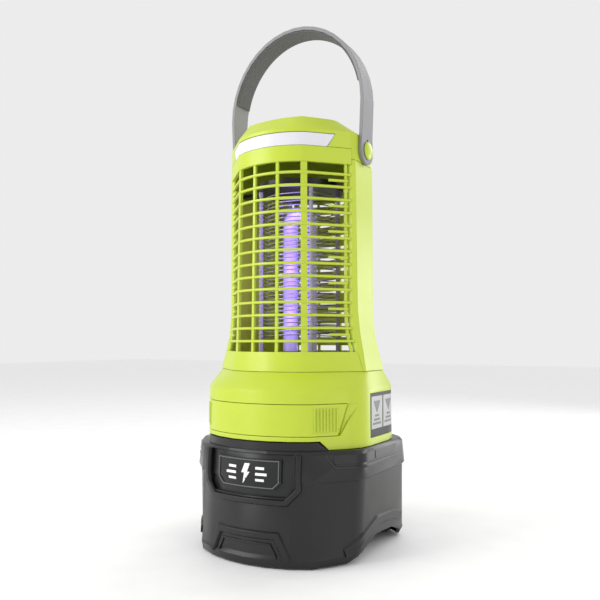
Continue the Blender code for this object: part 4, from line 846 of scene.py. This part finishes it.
def add_label_marks(bm, centre, across, foot, head):
    """Three bars, shorter towards the top, under an arrow head that points down."""
    bar_tall, tip_half, lift = 1.6 * MM, 0.5 * MM, 0.05 * MM
    for up, share in ((9 * MM, 0.36), (12 * MM, 0.26), (15 * MM, 0.16)):
        z, half = foot + up, across * share
        rows = [(z, centre - half, centre + half), (z + bar_tall, centre - half, centre + half)]
        add_plate(bm, tower_plan, rows, INK_THICK, lift=lift)
    half = across * 0.3
    tip, top = foot + 18.5 * MM, head - 6 * MM
    rows = [(tip, centre - tip_half, centre + tip_half), (top, centre - half, centre + half)]
    add_plate(bm, tower_plan, rows, INK_THICK, lift=lift)


def side_distance(y):
    """Distance along the tower's outline from the front's middle to a place on the right side."""
    plan = tower_plan(LABEL_Z)
    walked = 0.0
    for here, after in zip(plan, plan[1:]):
        if here.x > 0 and here.y <= y <= after.y:
            return walked + (after - here).length * (y - here.y) / (after.y - here.y)
        walked += (after - here).length
    return walked


# ---------------------------------------------------------------- strap
def strap_line(inset_by, stations):
    """Points along the strap's arch, from the grip's right end to its left one."""
    half = STRAP_ARCH_HALF - inset_by
    rise = STRAP_ARCH_RISE - inset_by
    angles = [GRIP_START + (math.pi - 2 * GRIP_START) * i / stations for i in range(stations + 1)]
    return [Vector((half * math.cos(a), STRAP_ARCH_FOOT + rise * math.sin(a))) for a in angles]


def diamond_height(walked, y):
    """How high the diamond pattern stands at a place on the grip, from 0 to 1."""
    a, b = (walked + y) / DIAMOND, (walked - y) / DIAMOND
    return min(abs(a - round(a)), abs(b - round(b))) * 2


def knurled_grip():
    """The soft grip under the strap's arch, covered in small diamonds."""
    across, along = GRIP_CELLS_ACROSS, GRIP_CELLS_ALONG
    line = strap_line(STRAP_THICK + SEAM + GRIP_DEEP / 2, along)
    bm = bmesh.new()
    grid_in, grid_out = [], []
    walked = 0.0
    for i, here in enumerate(line):
        before, after = line[max(i - 1, 0)], line[min(i + 1, along)]
        if i:
            walked += (here - line[i - 1]).length
        way = (after - before).normalized()
        inward = Vector((-way.y, way.x))
        end_fade = min(1.0, min(i, along - i) / GRIP_END_CELLS)
        row_in, row_out = [], []
        for j in range(across + 1):
            y = -GRIP_HALF + 2 * GRIP_HALF * j / across
            edge = min(1.0, (GRIP_HALF - abs(y)) / GRIP_EASE)
            lump = diamond_height(walked, y)
            full = GRIP_RIM + GRIP_BODY * edge * end_fade + GRIP_LUMP * lump * edge * end_fade
            depth = GRIP_DEEP / 2 * full
            place = here + inward * depth
            row_in.append(bm.verts.new((place.x, y, place.y)))
            back = here - inward * GRIP_DEEP / 2
            row_out.append(bm.verts.new((back.x, y, back.y)))
        grid_in.append(row_in)
        grid_out.append(row_out)
    for grid in (grid_in, grid_out):
        for one, two in zip(grid, grid[1:]):
            for j in range(across):
                bm.faces.new((one[j], one[j + 1], two[j + 1], two[j]))
    for i in range(along):
        for j in (0, across):
            bm.faces.new((grid_in[i][j], grid_in[i + 1][j], grid_out[i + 1][j], grid_out[i][j]))
    for i in (0, along):
        for j in range(across):
            bm.faces.new((grid_in[i][j], grid_in[i][j + 1], grid_out[i][j + 1], grid_out[i][j]))
    add_piece("strap_grip_knurled", bm, RUBBER_DARK, "strap", angle=60, replaced=("strap_grip",))


# ---------------------------------------------------------------- build
camera()
studio()
for name, facing in (("front_grille", -1), ("rear_grille", 1)):
    grille(name, facing)
coil("electrode_coil_a", 0.0)
coil("electrode_coil_b", 0.5)
for i in range(POST_COUNT):
    notched_post(f"electrode_post_{i + 1}")
lamp()
badge_surround()
foot_frame()
side_arch_bands()
belt_facets()
rear_foot_blocks()
badge_mark()
button_marks()
label()
knurled_grip()
dressed("front_lens", LENS_PAINTED_GLOW, bevel=0.3 * MM)
for name in ("lower_housing", "insect_tray", "head_cap", "side_pillar_left", "side_pillar_right"):
    dressed(name, bevel=0.5 * MM, segments=3)
dressed("base_housing", bevel=0.7 * MM, segments=3)
dressed("carry_strap", bevel=0.6 * MM, segments=3)
for name in ("strap_stud_left", "strap_stud_right"):
    dressed(name, LIME, bevel=0.3 * MM)
done = {node for obj in bpy.data.objects for node in obj.get("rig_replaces", [])}
for name in frame["nodes"]:
    if name not in done:
        dressed(name, bevel=0.3 * MM)
